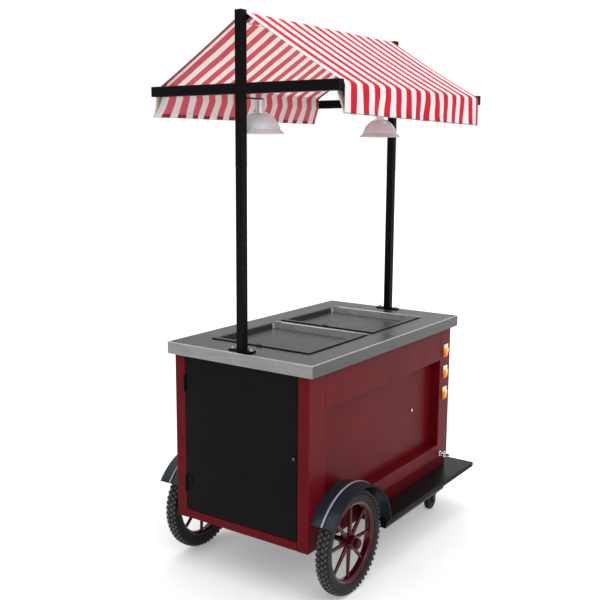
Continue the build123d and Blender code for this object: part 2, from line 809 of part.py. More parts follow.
def make_lid(place):
    lid_near = well_starts[place] + lid_gap
    hinge_x = hinge_line(place)
    lid_far = hinge_x - knuckle_radius - side_gap
    with BuildPart() as lid:
        block((lid_near, -lid_half, lid_low), (lid_far, lid_half, lid_high))
        fold_low = (lid_near + lid_sheet, -lid_half + lid_sheet, lid_low)
        block(fold_low, (lid_far - lid_sheet, lid_half - lid_sheet, lid_high - lid_sheet), Mode.SUBTRACT)
        dish_x = lid_far - lid_near - 2 * lid_rim
        dish_y = 2 * (lid_half - lid_rim)
        dish_floor = lid_high - lid_dish
        with BuildSketch(Plane.XY.offset(dish_floor - lid_sheet)):
            with Locations(((lid_near + lid_far) / 2, 0)):
                RectangleRounded(dish_x + 2 * lid_sheet, dish_y + 2 * lid_sheet, lid_dish_corner + lid_sheet)
        extrude(amount=lid_dish + lid_sheet)
        with BuildSketch(Plane.XY.offset(dish_floor)):
            with Locations(((lid_near + lid_far) / 2, 0)):
                RectangleRounded(dish_x, dish_y, lid_dish_corner)
        extrude(amount=lid_dish, mode=Mode.SUBTRACT)
        for knuckle_y in lid_knuckles:
            start_y = knuckle_y - knuckle_length / 2
            web_low = (lid_far - lid_sheet, start_y, lid_high - lid_sheet)
            block(web_low, (hinge_x, start_y + knuckle_length, lid_high))
            rod((hinge_x, start_y, lid_high), (0, 1, 0), knuckle_radius, knuckle_length)
        bore = hinge_rod_radius + running_gap
        rod((hinge_x, -lid_half, lid_high), (0, 1, 0), bore, 2 * lid_half, Mode.SUBTRACT)
        half = pull_width / 2
        block((lid_near, -half, lid_high), (lid_near + pull_foot, half, lid_high + lid_sheet))
        block((lid_near, -half, lid_high), (lid_near + lid_sheet, half, lid_high + pull_height))
        fillet(lid.faces().sort_by(Axis.Z)[-1].edges().filter_by(Axis.X), pull_round)
    keep(lid, f"{place}_lid")


for place in well_starts:
    make_lid(place)

with BuildPart() as hinge_strips:
    for place in well_starts:
        hinge_x = hinge_line(place)
        strip_near = hinge_x + knuckle_radius + side_gap
        strip_far = well_starts[place] + well_length - pan_gap
        block((strip_near, -lid_half, flange_top), (strip_far, lid_half, lid_high))
        fold_low = (strip_near + lid_sheet, -lid_half + lid_sheet, flange_top)
        block(fold_low, (strip_far - lid_sheet, lid_half - lid_sheet, lid_high - lid_sheet), Mode.SUBTRACT)
        for knuckle_y in strip_knuckles:
            start_y = knuckle_y - knuckle_length / 2
            web_high = (strip_near + lid_sheet, start_y + knuckle_length, lid_high)
            block((hinge_x, start_y, lid_high - lid_sheet), web_high)
            rod((hinge_x, start_y, lid_high), (0, 1, 0), knuckle_radius, knuckle_length)
        bore = hinge_rod_radius + running_gap
        rod((hinge_x, -lid_half, lid_high), (0, 1, 0), bore, 2 * lid_half, Mode.SUBTRACT)
        rod_half = 2 * knuckle_pitch + knuckle_length / 2
        rod((hinge_x, -rod_half, lid_high), (0, 1, 0), hinge_rod_radius, 2 * rod_half)
keep(hinge_strips, "lid_hinges")

# Door at the near end: a folded leaf with a separate pull strip along its free edge
strip_edge = -door_half + door_strip
lock_y = -door_half + door_strip / 2 - door_gap
lock_z = body_bottom + lock_height
hinge_x = body_near - door_knuckle_radius - hinge_stand_off
hinge_y = corner_inner - door_gap / 2
hinge_levels = (door_low + door_hinge_inset, door_high - door_hinge_inset)

with BuildPart() as end_door:
    leaf_far = body_near + door_thickness
    for y_low, y_high in ((-door_half, strip_edge), (strip_edge + seam, door_half)):
        block((body_near, y_low, door_low), (leaf_far, y_high, door_high))
        fold_low = (body_near + door_sheet, y_low + door_sheet, door_low + door_sheet)
        block(fold_low, (leaf_far, y_high - door_sheet, door_high - door_sheet), Mode.SUBTRACT)
    lock_hole = lock_shaft_radius + running_gap
    rod((body_near, lock_y, lock_z), (1, 0, 0), lock_hole, door_sheet, Mode.SUBTRACT)
keep(end_door, "end_door")

with BuildPart() as door_knuckles:
    for level in hinge_levels:
        rod((hinge_x, hinge_y, level), (0, 0, 1), door_knuckle_radius, door_knuckle_length)
        leaf_low = (body_near - door_leaf_sheet, hinge_y - door_leaf_width, level)
        block(leaf_low, (body_near, hinge_y - door_gap / 2, level + door_knuckle_length))
        bore_length = door_knuckle_length - door_leaf_sheet
        rod((hinge_x, hinge_y, level), (0, 0, 1), door_pin_radius + running_gap, bore_length, Mode.SUBTRACT)
keep(door_knuckles, "door_knuckles")

with BuildPart() as door_hinge_pins:
    for level in hinge_levels:
        lower = level - side_gap - door_knuckle_length
        rod((hinge_x, hinge_y, lower), (0, 0, 1), door_knuckle_radius, door_knuckle_length)
        pin_length = door_knuckle_length + side_gap + door_knuckle_length - 2 * door_leaf_sheet
        rod((hinge_x, hinge_y, lower), (0, 0, 1), door_pin_radius, pin_length)
        leaf_low = (hinge_x, corner_inner - door_leaf_sheet, lower)
        block(leaf_low, (body_near + jamb_leaf, corner_inner, lower + door_knuckle_length))
keep(door_hinge_pins, "door_hinge_pins")

with BuildPart() as door_lock:
    knob_start = (body_near - side_gap / 2, lock_y, lock_z)
    rod(knob_start, (-1, 0, 0), lock_radius, lock_knob)
    fillet(door_lock.edges().filter_by(GeomType.CIRCLE).sort_by(Axis.X)[0], knob_round)
    slot_low = (body_near - lock_knob - side_gap, lock_y - lock_radius, lock_z - slot_width / 2)
    slot_far = knob_start[0] - lock_knob + slot_depth
    slot_high = (slot_far, lock_y + lock_radius, lock_z + slot_width / 2)
    block(slot_low, slot_high, Mode.SUBTRACT)
    cam_start = body_near + door_thickness + seam
    shaft_length = cam_start + cam_sheet - knob_start[0]
    rod(knob_start, (1, 0, 0), lock_shaft_radius, shaft_length)
    cam_low = (cam_start, lock_y - cam_width / 2, lock_z - cam_width / 2)
    block(cam_low, (cam_start + cam_sheet, lock_y + cam_width / 2, lock_z + cam_length - cam_width / 2))
keep(door_lock, "door_lock")


# Posts with welded feet, their bolts, the cross arms and the bars that carry the canopy
def make_post(post_x, label):
    half = post_size / 2
    with BuildPart() as post:
        foot_low = (post_x - foot_length / 2, -foot_width / 2, counter_top)
        block(foot_low, (post_x + foot_length / 2, foot_width / 2, counter_top + foot_thickness))
        tube_low = counter_top + foot_thickness
        tube((post_x - half, -half, tube_low), (post_x + half, half, post_top), post_wall, 2, post_wall)
        for bolt_y in (-bolt_spacing / 2, bolt_spacing / 2):
            hole = bolt_radius + bolt_gap
            rod((post_x, bolt_y, counter_top), (0, 0, 1), hole, foot_thickness, Mode.SUBTRACT)
    keep(post, label)


make_post(post_near, "near_post")
make_post(post_far, "far_post")

with BuildPart() as foot_bolts:
    for post_x in (post_near, post_far):
        for bolt_y in (-bolt_spacing / 2, bolt_spacing / 2):
            washer_low = counter_top + foot_thickness
            rod((post_x, bolt_y, body_top), (0, 0, 1), bolt_radius, washer_low - body_top)
            rod((post_x, bolt_y, washer_low), (0, 0, 1), washer_radius, washer)
            with BuildSketch(Plane.XY.offset(washer_low + washer)):
                with Locations((post_x, bolt_y)):
                    RegularPolygon(bolt_head_radius, 6)
            extrude(amount=bolt_head)
keep(foot_bolts, "foot_bolts")

with BuildPart() as cross_arms:
    for post_x in (post_near, post_far):
        for side in (front, back):
            half = post_size / 2
            y_low, y_high = across(side, half, arm_reach)
            block((post_x - half, y_low, arm_low), (post_x + half, y_high, arm_high))
            hollow_y = across(side, half, arm_reach - arm_wall)
            hollow_low = (post_x - half + arm_wall, hollow_y[0], arm_low + arm_wall)
            block(hollow_low, (post_x + half - arm_wall, hollow_y[1], arm_high - arm_wall), Mode.SUBTRACT)
keep(cross_arms, "cross_arms")

bar_near = post_near + post_size / 2
bar_far = post_far - post_size / 2
canopy_slope = (ridge_height - canopy_thickness - bar_high - canopy_gap) / arm_reach
ridge_slope = canopy_slope + 4 * canopy_sag / arm_reach

with BuildPart() as eave_bars:
    for side in (front, back):
        y_low, y_high = across(side, arm_reach - bar_size, arm_reach)
        tube((bar_near, y_low, bar_high - bar_size), (bar_far, y_high, bar_high), bar_wall, 0)
keep(eave_bars, "eave_bars")

with BuildPart() as ridge_bar:
    bar_half = bar_size / 2
    bar_top = ridge_height - canopy_thickness - canopy_gap - ridge_slope * bar_half
    tube((bar_near, -bar_half, bar_top - bar_size), (bar_far, bar_half, bar_top), bar_wall, 0)
keep(ridge_bar, "ridge_bar")

# Canopy cloth: two sagging slopes over the ridge bar and a valance hanging at each eave
with BuildPart() as canopy:
    cloth_inner = arm_reach + canopy_gap
    cloth_outer = cloth_inner + canopy_thickness
    eave_outer = ridge_height - canopy_slope * cloth_outer
    eave_inner = ridge_height - canopy_thickness - canopy_slope * cloth_inner
    ridge_inner = ridge_height - canopy_thickness
    valance_low = eave_outer - valance_drop
    outer_middle = (ridge_height + eave_outer) / 2 - canopy_sag
    inner_middle = (ridge_inner + eave_inner) / 2 - canopy_sag
    cloth_near = bar_near + canopy_end_gap
    with BuildSketch(Plane(origin=(cloth_near, 0, 0), x_dir=(0, 1, 0), z_dir=(1, 0, 0))):
        with BuildLine():
            for side in (front, back):
                inner = side * cloth_inner
                outer = side * cloth_outer
                ThreePointArc((0, ridge_height), (outer / 2, outer_middle), (outer, eave_outer))
                Line((outer, eave_outer), (outer, valance_low))
                Line((outer, valance_low), (inner, valance_low))
                Line((inner, valance_low), (inner, eave_inner))
                ThreePointArc((inner, eave_inner), (inner / 2, inner_middle), (0, ridge_inner))
        make_face()
    extrude(amount=bar_far - canopy_end_gap - cloth_near)
keep(canopy, "canopy")

# Lamps hanging inside the canopy, each on a bracket from its post
lamp_places = {"near": (post_near + lamp_from_post, 1), "far": (post_far - lamp_from_post, -1)}
shade_top = shade_rim + shade_height
holder_low = shade_top
holder_high = holder_low + holder_height

with BuildPart() as lamp_brackets:
    for lamp_x, turn in lamp_places.values():
        wall_x = lamp_x - turn * (lamp_from_post - post_size / 2)
        x_low, x_high = sorted((wall_x, lamp_x + turn * bracket_bar / 2))
        half = bracket_bar / 2
        block((x_low, -half, holder_high), (x_high, half, holder_high + bracket_sheet))
        tab_low, tab_high = sorted((wall_x, wall_x + turn * bracket_sheet))
        block((tab_low, -half, holder_high - bracket_tab), (tab_high, half, holder_high))
keep(lamp_brackets, "lamp_brackets")

with BuildPart() as lamp_holders:
    for lamp_x, turn in lamp_places.values():
        rod((lamp_x, 0, holder_low), (0, 0, 1), shade_collar_radius - shade_sheet, holder_flange)
        rod((lamp_x, 0, holder_low), (0, 0, 1), holder_radius, holder_height)
keep(lamp_holders, "lamp_holders")

with BuildPart() as bulbs:
    for lamp_x, turn in lamp_places.values():
        with BuildSketch(Plane(origin=(lamp_x, 0, holder_low), x_dir=(1, 0, 0), z_dir=(0, -1, 0))):
            with BuildLine():
                globe_middle = -bulb_length + bulb_radius
                globe_join = bulb_radius * sin(radians(45))
                Line((0, 0), (bulb_neck_radius, 0))
                Line((bulb_neck_radius, 0), (bulb_neck_radius, -bulb_neck))
                Line((bulb_neck_radius, -bulb_neck), (globe_join, globe_middle + globe_join))
                ThreePointArc((globe_join, globe_middle + globe_join), (bulb_radius, globe_middle),
                              (0, -bulb_length))
                Line((0, -bulb_length), (0, 0))
            make_face()
        revolve(axis=Axis((lamp_x, 0, holder_low), (0, 0, 1)))
        with Locations((lamp_x, 0, holder_low + globe_middle)):
            Sphere(bulb_radius - bulb_glass, mode=Mode.SUBTRACT)
keep(bulbs, "bulbs")


def make_shade(place):
    lamp_x = lamp_places[place][0]
    dome_top = shade_height - shade_sheet
    hole = bulb_neck_radius + running_gap
    with BuildPart() as shade:
        with BuildSketch(Plane(origin=(lamp_x, 0, shade_rim), x_dir=(1, 0, 0), z_dir=(0, -1, 0))):
            with BuildLine():
                Line((hole, shade_height), (shade_collar_radius, shade_height))
                ThreePointArc((shade_collar_radius, shade_height),
                              (shade_bow_radius, shade_bow_height), (shade_dome_radius, shade_lip))
                Line((shade_dome_radius, shade_lip), (shade_radius, 0))
                Line((shade_radius, 0), (shade_radius - shade_sheet, 0))
                Line((shade_radius - shade_sheet, 0), (shade_dome_radius - shade_sheet, shade_lip))
                ThreePointArc((shade_dome_radius - shade_sheet, shade_lip),
                              (shade_bow_radius - shade_sheet, shade_bow_height - shade_sheet),
                              (shade_collar_radius - shade_sheet, dome_top))
                Line((shade_collar_radius - shade_sheet, dome_top), (hole, dome_top))
                Line((hole, dome_top), (hole, shade_height))
            make_face()
        revolve(axis=Axis((lamp_x, 0, shade_rim), (0, 0, 1)))
    keep(shade, f"{place}_shade")


for place in lamp_places:
    make_shade(place)

# Switches in the far stile: three housings, their rockers, and the terminal box behind them
pivot_y = -body_side - switch_frame / 2
pocket_half_x = switch_width / 2 - switch_border
pocket_half_z = switch_height / 2 - switch_border

with BuildPart() as switch_housings:
    for level in switch_levels:
        frame_half_x = switch_width / 2
        frame_half_z = switch_height / 2
        frame_low = (switch_x - frame_half_x, -body_side - switch_frame, level - frame_half_z)
        block(frame_low, (switch_x + frame_half_x, -body_side, level + frame_half_z))
        body_low = (switch_x - pocket_half_x, -body_side, level - pocket_half_z)
        body_high = (switch_x + pocket_half_x, -body_side + switch_body_depth, level + pocket_half_z)
        block(body_low, body_high)
        pocket_back = -body_side + switch_body_depth / 2
        room_x = pocket_half_x - panel_sheet
        room_z = pocket_half_z - panel_sheet
        pocket_low = (switch_x - room_x, -body_side - switch_frame, level - room_z)
        pocket_high = (switch_x + room_x, pocket_back, level + room_z)
        block(pocket_low, pocket_high, Mode.SUBTRACT)
        trunnion_start = (switch_x - room_x - trunnion_length, pivot_y, level)
        seat_length = 2 * (room_x + trunnion_length)
        rod(trunnion_start, (1, 0, 0), trunnion_radius + running_gap, seat_length, Mode.SUBTRACT)
keep(switch_housings, "switch_housings")


def make_rocker(level, label):
    half_x = pocket_half_x - panel_sheet - rocker_gap
    half_z = pocket_half_z - panel_sheet - rocker_gap
    tilt = radians(rocker_tilt)
    outline = [
        (-half_z, 0),
        (-half_z, rocker_edge + switch_frame / 2),
        (rocker_crown, rocker_rise + switch_frame / 2),
        (half_z, rocker_edge + switch_frame / 2),
        (half_z, 0),
        (0, -switch_frame / 2),
    ]
    plane = Plane(origin=(switch_x - half_x, pivot_y, level),
                  x_dir=(0, sin(tilt), cos(tilt)), z_dir=(1, 0, 0))
    with BuildPart() as rocker:
        with BuildSketch(plane):
            Polygon(*outline, align=None)
        extrude(amount=2 * half_x)
        pin_start = (switch_x - half_x - trunnion_length, pivot_y, level)
        rod(pin_start, (1, 0, 0), trunnion_radius, 2 * (half_x + trunnion_length))
    keep(rocker, label)


for level, label in zip(switch_levels, ("upper_rocker", "middle_rocker", "lower_rocker")):
    make_rocker(level, label)

with BuildPart() as terminal_box:
    box_y = -corner_inner
    box_far = body_far - corner_depth - seam
    box_low = (box_far - box_width, box_y, min(switch_levels) - box_margin)
    box_high = (box_far, box_y + box_depth, max(switch_levels) + box_margin)
    block(box_low, box_high)
    hollow_low = [value + box_sheet for value in box_low]
    hollow_high = [value - box_sheet for value in box_high]
    block(hollow_low, hollow_high, Mode.SUBTRACT)
keep(terminal_box, "terminal_box")

with BuildPart() as mains_inlet:
    half = inlet_size / 2
    flange_low = (far_face, inlet_side - half, inlet_level - half)
    block(flange_low, (far_face + inlet_flange, inlet_side + half, inlet_level + half))
    fillet(mains_inlet.edges().filter_by(Axis.X), inlet_flange)
    half = inlet_body / 2
    body_low = (far_face - inlet_depth, inlet_side - half, inlet_level - half)
    block(body_low, (far_face, inlet_side + half, inlet_level + half))
    half = inlet_socket / 2
    socket_low = (far_face + inlet_flange - inlet_socket_depth, inlet_side - half, inlet_level - half)
    socket_high = (far_face + inlet_flange, inlet_side + half, inlet_level + half)
    block(socket_low, socket_high, Mode.SUBTRACT)
keep(mains_inlet, "mains_inlet")

# Drain tap on the front with its lever, and the pipe from the far pan
tap_y = -body_side - tap_reach

with BuildPart() as tap:
    rod((tap_x, -body_side, tap_level), (0, -1, 0), tap_flange_radius, tap_flange)
    rod((tap_x, -corner_inner, tap_level), (0, -1, 0), tap_neck_radius, tap_reach + corner_depth)
    rod((tap_x, tap_y, tap_level - tap_body_length / 2), (0, 0, 1), tap_body_radius, tap_body_length)
    rod((tap_x, tap_y, tap_level), (0, -1, 0), tap_collar_radius, tap_collar)
    spout_start = tap_y - tap_collar
    rod((tap_x, spout_start, tap_level), (0, -1, 0), tap_spout_radius, tap_spout_length)
    rod((tap_x, spout_start, tap_level), (0, -1, 0), tap_spout_bore, tap_spout_length, Mode.SUBTRACT)
    stem_low = tap_level + tap_body_length / 2
    stem_length = tap_stem_height + tap_lever_thickness
    rod((tap_x, tap_y, stem_low), (0, 0, 1), tap_stem_radius, stem_length)
keep(tap, "drain_tap")

with BuildPart() as tap_lever:
    lever_low = stem_low + tap_stem_height - side_gap
    rod((tap_x, tap_y, lever_low), (0, 0, 1), tap_lever_hub, tap_lever_thickness)
    half = tap_lever_width / 2
    lever_end = tap_x - tap_lever_length
    block((lever_end, tap_y - half, lever_low), (tap_x, tap_y + half, lever_low + tap_lever_thickness))
    fillet(tap_lever.edges().filter_by(Axis.Z).sort_by(Axis.X)[:2], tap_lever_round)
    bore = tap_stem_radius + running_gap
    rod((tap_x, tap_y, lever_low), (0, 0, 1), bore, tap_lever_thickness, Mode.SUBTRACT)
keep(tap_lever, "drain_tap_lever")

with BuildPart() as drain_pipe:
    rise_top = pan_floor - pipe_rise_gap
    bends = [
        (tap_x, -corner_inner, tap_level),
        (tap_x, drain_y, tap_level),
        (tap_x, drain_y, rise_top),
        (drain_x, drain_y, rise_top),
        (drain_x, drain_y, pan_floor),
    ]
    with BuildLine() as pipe_path:
        FilletPolyline(*bends, radius=pipe_bend)
    with BuildSketch(Plane(origin=pipe_path.line @ 0, z_dir=pipe_path.line % 0)):
        Circle(pipe_radius)
        Circle(pipe_radius - pipe_wall, mode=Mode.SUBTRACT)
    sweep(path=pipe_path.line)
keep(drain_pipe, "drain_pipe")

with BuildPart() as panel_lock:
    lock_x = body_far - panel_lock_from_end
    knob_start = (lock_x, -panel_face - side_gap / 2, panel_lock_level)
    rod(knob_start, (0, -1, 0), panel_lock_radius, panel_lock_knob)
    fillet(panel_lock.edges().filter_by(GeomType.CIRCLE).sort_by(Axis.Y)[0], knob_round)
    slot_top = knob_start[1] - panel_lock_knob
    slot_low = (lock_x - panel_lock_radius, slot_top, panel_lock_level - slot_width / 2)
    slot_high = (lock_x + panel_lock_radius, slot_top + slot_depth, panel_lock_level + slot_width / 2)
    block(slot_low, slot_high, Mode.SUBTRACT)
    cam_y = -corner_inner
    rod(knob_start, (0, 1, 0), lock_shaft_radius, cam_y + cam_sheet - knob_start[1])
    cam_low = (lock_x - cam_width / 2, cam_y, panel_lock_level - cam_width / 2)
    cam_high = (lock_x + cam_width / 2, cam_y + cam_sheet, panel_lock_level + cam_length - cam_width / 2)
    block(cam_low, cam_high)
keep(panel_lock, "panel_lock")
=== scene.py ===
import json
import math

import bmesh
import bpy
from mathutils import Matrix, Vector

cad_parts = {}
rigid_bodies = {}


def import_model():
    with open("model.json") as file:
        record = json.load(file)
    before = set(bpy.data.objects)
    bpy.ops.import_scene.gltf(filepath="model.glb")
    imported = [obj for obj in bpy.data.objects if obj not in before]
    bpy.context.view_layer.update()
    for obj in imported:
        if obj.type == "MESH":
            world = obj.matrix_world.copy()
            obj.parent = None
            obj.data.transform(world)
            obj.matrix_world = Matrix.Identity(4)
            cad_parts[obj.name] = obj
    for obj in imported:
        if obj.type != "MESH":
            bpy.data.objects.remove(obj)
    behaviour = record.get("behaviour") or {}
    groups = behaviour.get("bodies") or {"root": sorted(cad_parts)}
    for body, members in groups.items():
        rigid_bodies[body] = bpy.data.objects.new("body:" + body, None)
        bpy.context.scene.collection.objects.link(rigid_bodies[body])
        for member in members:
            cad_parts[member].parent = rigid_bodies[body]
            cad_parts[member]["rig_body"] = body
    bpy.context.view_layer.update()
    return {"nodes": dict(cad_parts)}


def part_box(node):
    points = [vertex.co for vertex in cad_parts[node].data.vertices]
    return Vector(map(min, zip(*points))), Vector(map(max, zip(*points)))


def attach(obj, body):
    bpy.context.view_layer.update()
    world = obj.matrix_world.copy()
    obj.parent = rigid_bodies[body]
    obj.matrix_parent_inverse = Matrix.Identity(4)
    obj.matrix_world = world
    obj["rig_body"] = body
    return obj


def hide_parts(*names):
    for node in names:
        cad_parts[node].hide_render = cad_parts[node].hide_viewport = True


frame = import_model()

nodes = frame["nodes"]
slotOfNode = {name: shape.material_slots[0].material.name for name, shape in nodes.items()}
bodyOfNode = {name: shape["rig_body"] for name, shape in nodes.items()}
print("frame loaded:", len(nodes), "nodes")


# Shader helpers: a socket takes a link or a plain value, and None leaves it alone.
def plug(tree, socket, value):
    if isinstance(value, bpy.types.NodeSocket):
        tree.links.new(value, socket)
    elif value is not None:
        socket.default_value = value


def plugAll(tree, sockets, values):
    for key, value in values.items():
        plug(tree, sockets[key], value)


def addNode(tree, kind, settings, inputs):
    made = tree.nodes.new(kind)
    for key, value in settings.items():
        setattr(made, key, value)
    plugAll(tree, made.inputs, inputs)
    return made


def mathNode(tree, operation, first, second=None, third=None):
    made = addNode(tree, "ShaderNodeMath", {"operation": operation}, {0: first, 1: second, 2: third})
    return made.outputs[0]


def vectorNode(tree, operation, inputs):
    return addNode(tree, "ShaderNodeVectorMath", {"operation": operation}, inputs).outputs


def splitNode(tree, vector):
    return addNode(tree, "ShaderNodeSeparateXYZ", {}, {"Vector": vector}).outputs


def rangeNode(tree, value, span=(0.0, 1.0), result=(0.0, 1.0)):
    made = addNode(tree, "ShaderNodeMapRange", {"clamp": True}, {
        "Value": value, "From Min": span[0], "From Max": span[1], "To Min": result[0], "To Max": result[1]})
    return made.outputs["Result"]


def noiseNode(tree, vector, scale, detail=3.0, roughness=0.55, distortion=0.0):
    made = addNode(tree, "ShaderNodeTexNoise", {}, {
        "Vector": vector, "Scale": scale, "Detail": detail, "Roughness": roughness, "Distortion": distortion})
    return made.outputs["Fac"]


def noiseMask(tree, vector, span, **noise):
    return rangeNode(tree, noiseNode(tree, vector, **noise), span)


# A Mix node that mixes colours takes them on sockets 6 and 7 and gives its result on 2.
def mixColour(tree, factor, first, second):
    made = addNode(tree, "ShaderNodeMix", {"data_type": "RGBA"}, {0: factor, 6: first, 7: second})
    return made.outputs[2]


def bumpNormal(tree, height, strength, distance):
    made = addNode(tree, "ShaderNodeBump", {}, {"Height": height, "Strength": strength, "Distance": distance})
    return made.outputs["Normal"]


def objectVector(tree):
    return tree.nodes.new("ShaderNodeTexCoord").outputs["Object"]


def wearAndSheenMask(tree):
    return addNode(tree, "ShaderNodeAttribute", {"attribute_name": "wear"}, {}).outputs["Fac"]


def linear(channel):
    return channel / 12.92 if channel <= 0.04045 else ((channel + 0.055) / 1.055) ** 2.4


def rgb(red, green, blue):
    return tuple(linear(channel / 255) for channel in (red, green, blue)) + (1.0,)


def newGroup(name, inputs, outputs):
    tree = bpy.data.node_groups.new(name, "ShaderNodeTree")
    for label in inputs:
        tree.interface.new_socket(label, in_out="INPUT", socket_type="NodeSocketVector")
    for label in outputs:
        tree.interface.new_socket(label, in_out="OUTPUT", socket_type="NodeSocketFloat")
    return tree, tree.nodes.new("NodeGroupInput").outputs, tree.nodes.new("NodeGroupOutput").inputs


# Paint film: slow colour drift, dull patches, chips and the fine ripple of sprayed enamel.
paintGrain = {
    "Shade": {"scale": 3.2, "detail": 4.0, "span": (0.3, 0.7)},
    "Dull": {"scale": 11.0, "detail": 6.0, "roughness": 0.62, "distortion": 0.4, "span": (0.42, 0.72)},
    "Chip": {"scale": 95.0, "detail": 5.0, "roughness": 0.7, "span": (0.56, 0.66)},
    "Ripple": {"scale": 420.0, "detail": 1.0},
}


def makePaintSkin():
    tree, given, result = newGroup("paintSkin", ["Vector"], ["Shade", "Dull", "Ripple", "Chip"])
    for label in ("Shade", "Dull", "Chip"):
        plug(tree, result[label], noiseMask(tree, given["Vector"], **paintGrain[label]))
    plug(tree, result["Ripple"], noiseNode(tree, given["Vector"], **paintGrain["Ripple"]))
    return tree


# Brushed sheet: streaks along the axis that is stretched least, plus smears from wiping.
sheetGrain = {
    "Streak": {"scale": 1.0, "detail": 3.0, "roughness": 0.6}, "streakSpan": (0.3, 0.7),
    "Smear": {"scale": 5.5, "detail": 5.0, "roughness": 0.6, "distortion": 0.8, "span": (0.38, 0.7)},
}


def makeBrushedSheet():
    tree, given, result = newGroup("brushedSheet", ["Vector", "Stretch"], ["Streak", "Smear", "Grain"])
    stretched = vectorNode(tree, "MULTIPLY", {0: given["Vector"], 1: given["Stretch"]})[0]
    streak = noiseNode(tree, stretched, **sheetGrain["Streak"])
    plug(tree, result["Streak"], rangeNode(tree, streak, sheetGrain["streakSpan"]))
    plug(tree, result["Grain"], streak)
    plug(tree, result["Smear"], noiseMask(tree, given["Vector"], **sheetGrain["Smear"]))
    return tree


# Rubber: bloom in patches and a fine moulded grain.
rubberGrain = {
    "Bloom": {"scale": 14.0, "detail": 6.0, "roughness": 0.65, "span": (0.4, 0.7)},
    "Grain": {"scale": 300.0, "detail": 3.0, "roughness": 0.6},
}


def makeRubberSkin():
    tree, given, result = newGroup("rubberSkin", ["Vector"], ["Bloom", "Grain"])
    plug(tree, result["Bloom"], noiseMask(tree, given["Vector"], **rubberGrain["Bloom"]))
    plug(tree, result["Grain"], noiseNode(tree, given["Vector"], **rubberGrain["Grain"]))
    return tree


groups = {"paintSkin": makePaintSkin(), "brushedSheet": makeBrushedSheet(), "rubberSkin": makeRubberSkin()}


def useGroup(tree, name, inputs):
    return addNode(tree, "ShaderNodeGroup", {"node_tree": groups[name]}, inputs).outputs


def newMaterial(name):
    material = bpy.data.materials.new(name)
    material.use_nodes = True
    tree = material.node_tree
    shader = next(node for node in tree.nodes if node.type == "BSDF_PRINCIPLED")
    return material, tree, shader.inputs


# Painted sheet or tube, with rubbed edges where wear is marked. Rough goes from clean to dull paint.
paintLook = {"depth": 0.0006, "coatRough": 0.12}


def paintMaterial(name, main, deep, rubbed, rough, ripple=0.08, coat=0.0, chips=0.35, shine=0.25):
    material, tree, shader = newMaterial(name)
    skin = useGroup(tree, "paintSkin", {"Vector": objectVector(tree)})
    edge = mathNode(tree, "MULTIPLY", wearAndSheenMask(tree), skin["Chip"])
    edge = mathNode(tree, "MULTIPLY", edge, chips)
    plugAll(tree, shader, {
        "Base Color": mixColour(tree, edge, mixColour(tree, skin["Shade"], deep, main), rubbed),
        "Roughness": rangeNode(tree, skin["Dull"], result=rough),
        "Normal": bumpNormal(tree, skin["Ripple"], ripple, paintLook["depth"]),
        "Specular IOR Level": shine, "Coat Weight": coat, "Coat Roughness": paintLook["coatRough"],
    })
    return material


# Bare metal. Stretch is the grain's fineness along X, Y and Z, and rough goes from clean to smeared.
metalLook = {"depth": 0.0004, "cloudShare": 0.6}


def metalMaterial(name, main, deep, stretch, rough, grain=0.12, cloud=None):
    material, tree, shader = newMaterial(name)
    sheet = useGroup(tree, "brushedSheet", {"Vector": objectVector(tree), "Stretch": stretch})
    tone = mixColour(tree, sheet["Streak"], deep, main)
    if cloud:
        smear = mathNode(tree, "MULTIPLY", sheet["Smear"], metalLook["cloudShare"])
        tone = mixColour(tree, smear, tone, cloud)
    plugAll(tree, shader, {
        "Base Color": tone, "Metallic": 1.0,
        "Roughness": rangeNode(tree, sheet["Smear"], result=rough),
        "Normal": bumpNormal(tree, sheet["Grain"], grain, metalLook["depth"]),
    })
    return material


rubberLook = {"depth": 0.0005, "grain": 0.25, "scuff": (0.55, 1.0), "bloomRough": 0.15, "shine": 0.2}


# Where wear is marked the rubber takes a lighter tone; on the tyres this is partly scuffing and partly a
# painted highlight.
def rubberMaterial(name, main, bloom, worn, rough):
    material, tree, shader = newMaterial(name)
    skin = useGroup(tree, "rubberSkin", {"Vector": objectVector(tree)})
    body = mixColour(tree, skin["Bloom"], main, bloom)
    patchy = rangeNode(tree, skin["Bloom"], result=rubberLook["scuff"])
    scuff = mathNode(tree, "MULTIPLY", wearAndSheenMask(tree), patchy)
    plugAll(tree, shader, {
        "Base Color": mixColour(tree, scuff, body, worn),
        "Roughness": rangeNode(tree, skin["Bloom"], result=(rough, rough + rubberLook["bloomRough"])),
        "Normal": bumpNormal(tree, skin["Grain"], rubberLook["grain"], rubberLook["depth"]),
        "Specular IOR Level": rubberLook["shine"],
    })
    return material


# Moulded plastic or milk glass: a soft tone change and a faint grain.
mouldedLook = {"depth": 0.0003, "dullRough": 0.12, "scatter": (0.006, 0.006, 0.006)}


def mouldedMaterial(name, main, deep, rough, grain=0.05, subsurface=0.0):
    material, tree, shader = newMaterial(name)
    skin = useGroup(tree, "paintSkin", {"Vector": objectVector(tree)})
    plugAll(tree, shader, {
        "Base Color": mixColour(tree, skin["Shade"], deep, main),
        "Roughness": rangeNode(tree, skin["Dull"], result=(rough, rough + mouldedLook["dullRough"])),
        "Normal": bumpNormal(tree, skin["Ripple"], grain, mouldedLook["depth"]),
        "Subsurface Weight": subsurface, "Subsurface Radius": mouldedLook["scatter"],
    })
    return material


# Switch frames and rockers: a pale painted highlight at the top of each switch, amber in the middle and
# painted shade in deep orange below.
switchLook = {"pitch": 0.1, "firstLevel": 0.782, "paleSpan": (0.52, 0.72), "deepSpan": (0.3, 0.52),
              "dullShare": 0.3, "dullRough": 0.15, "grain": 0.05, "depth": 0.0003}


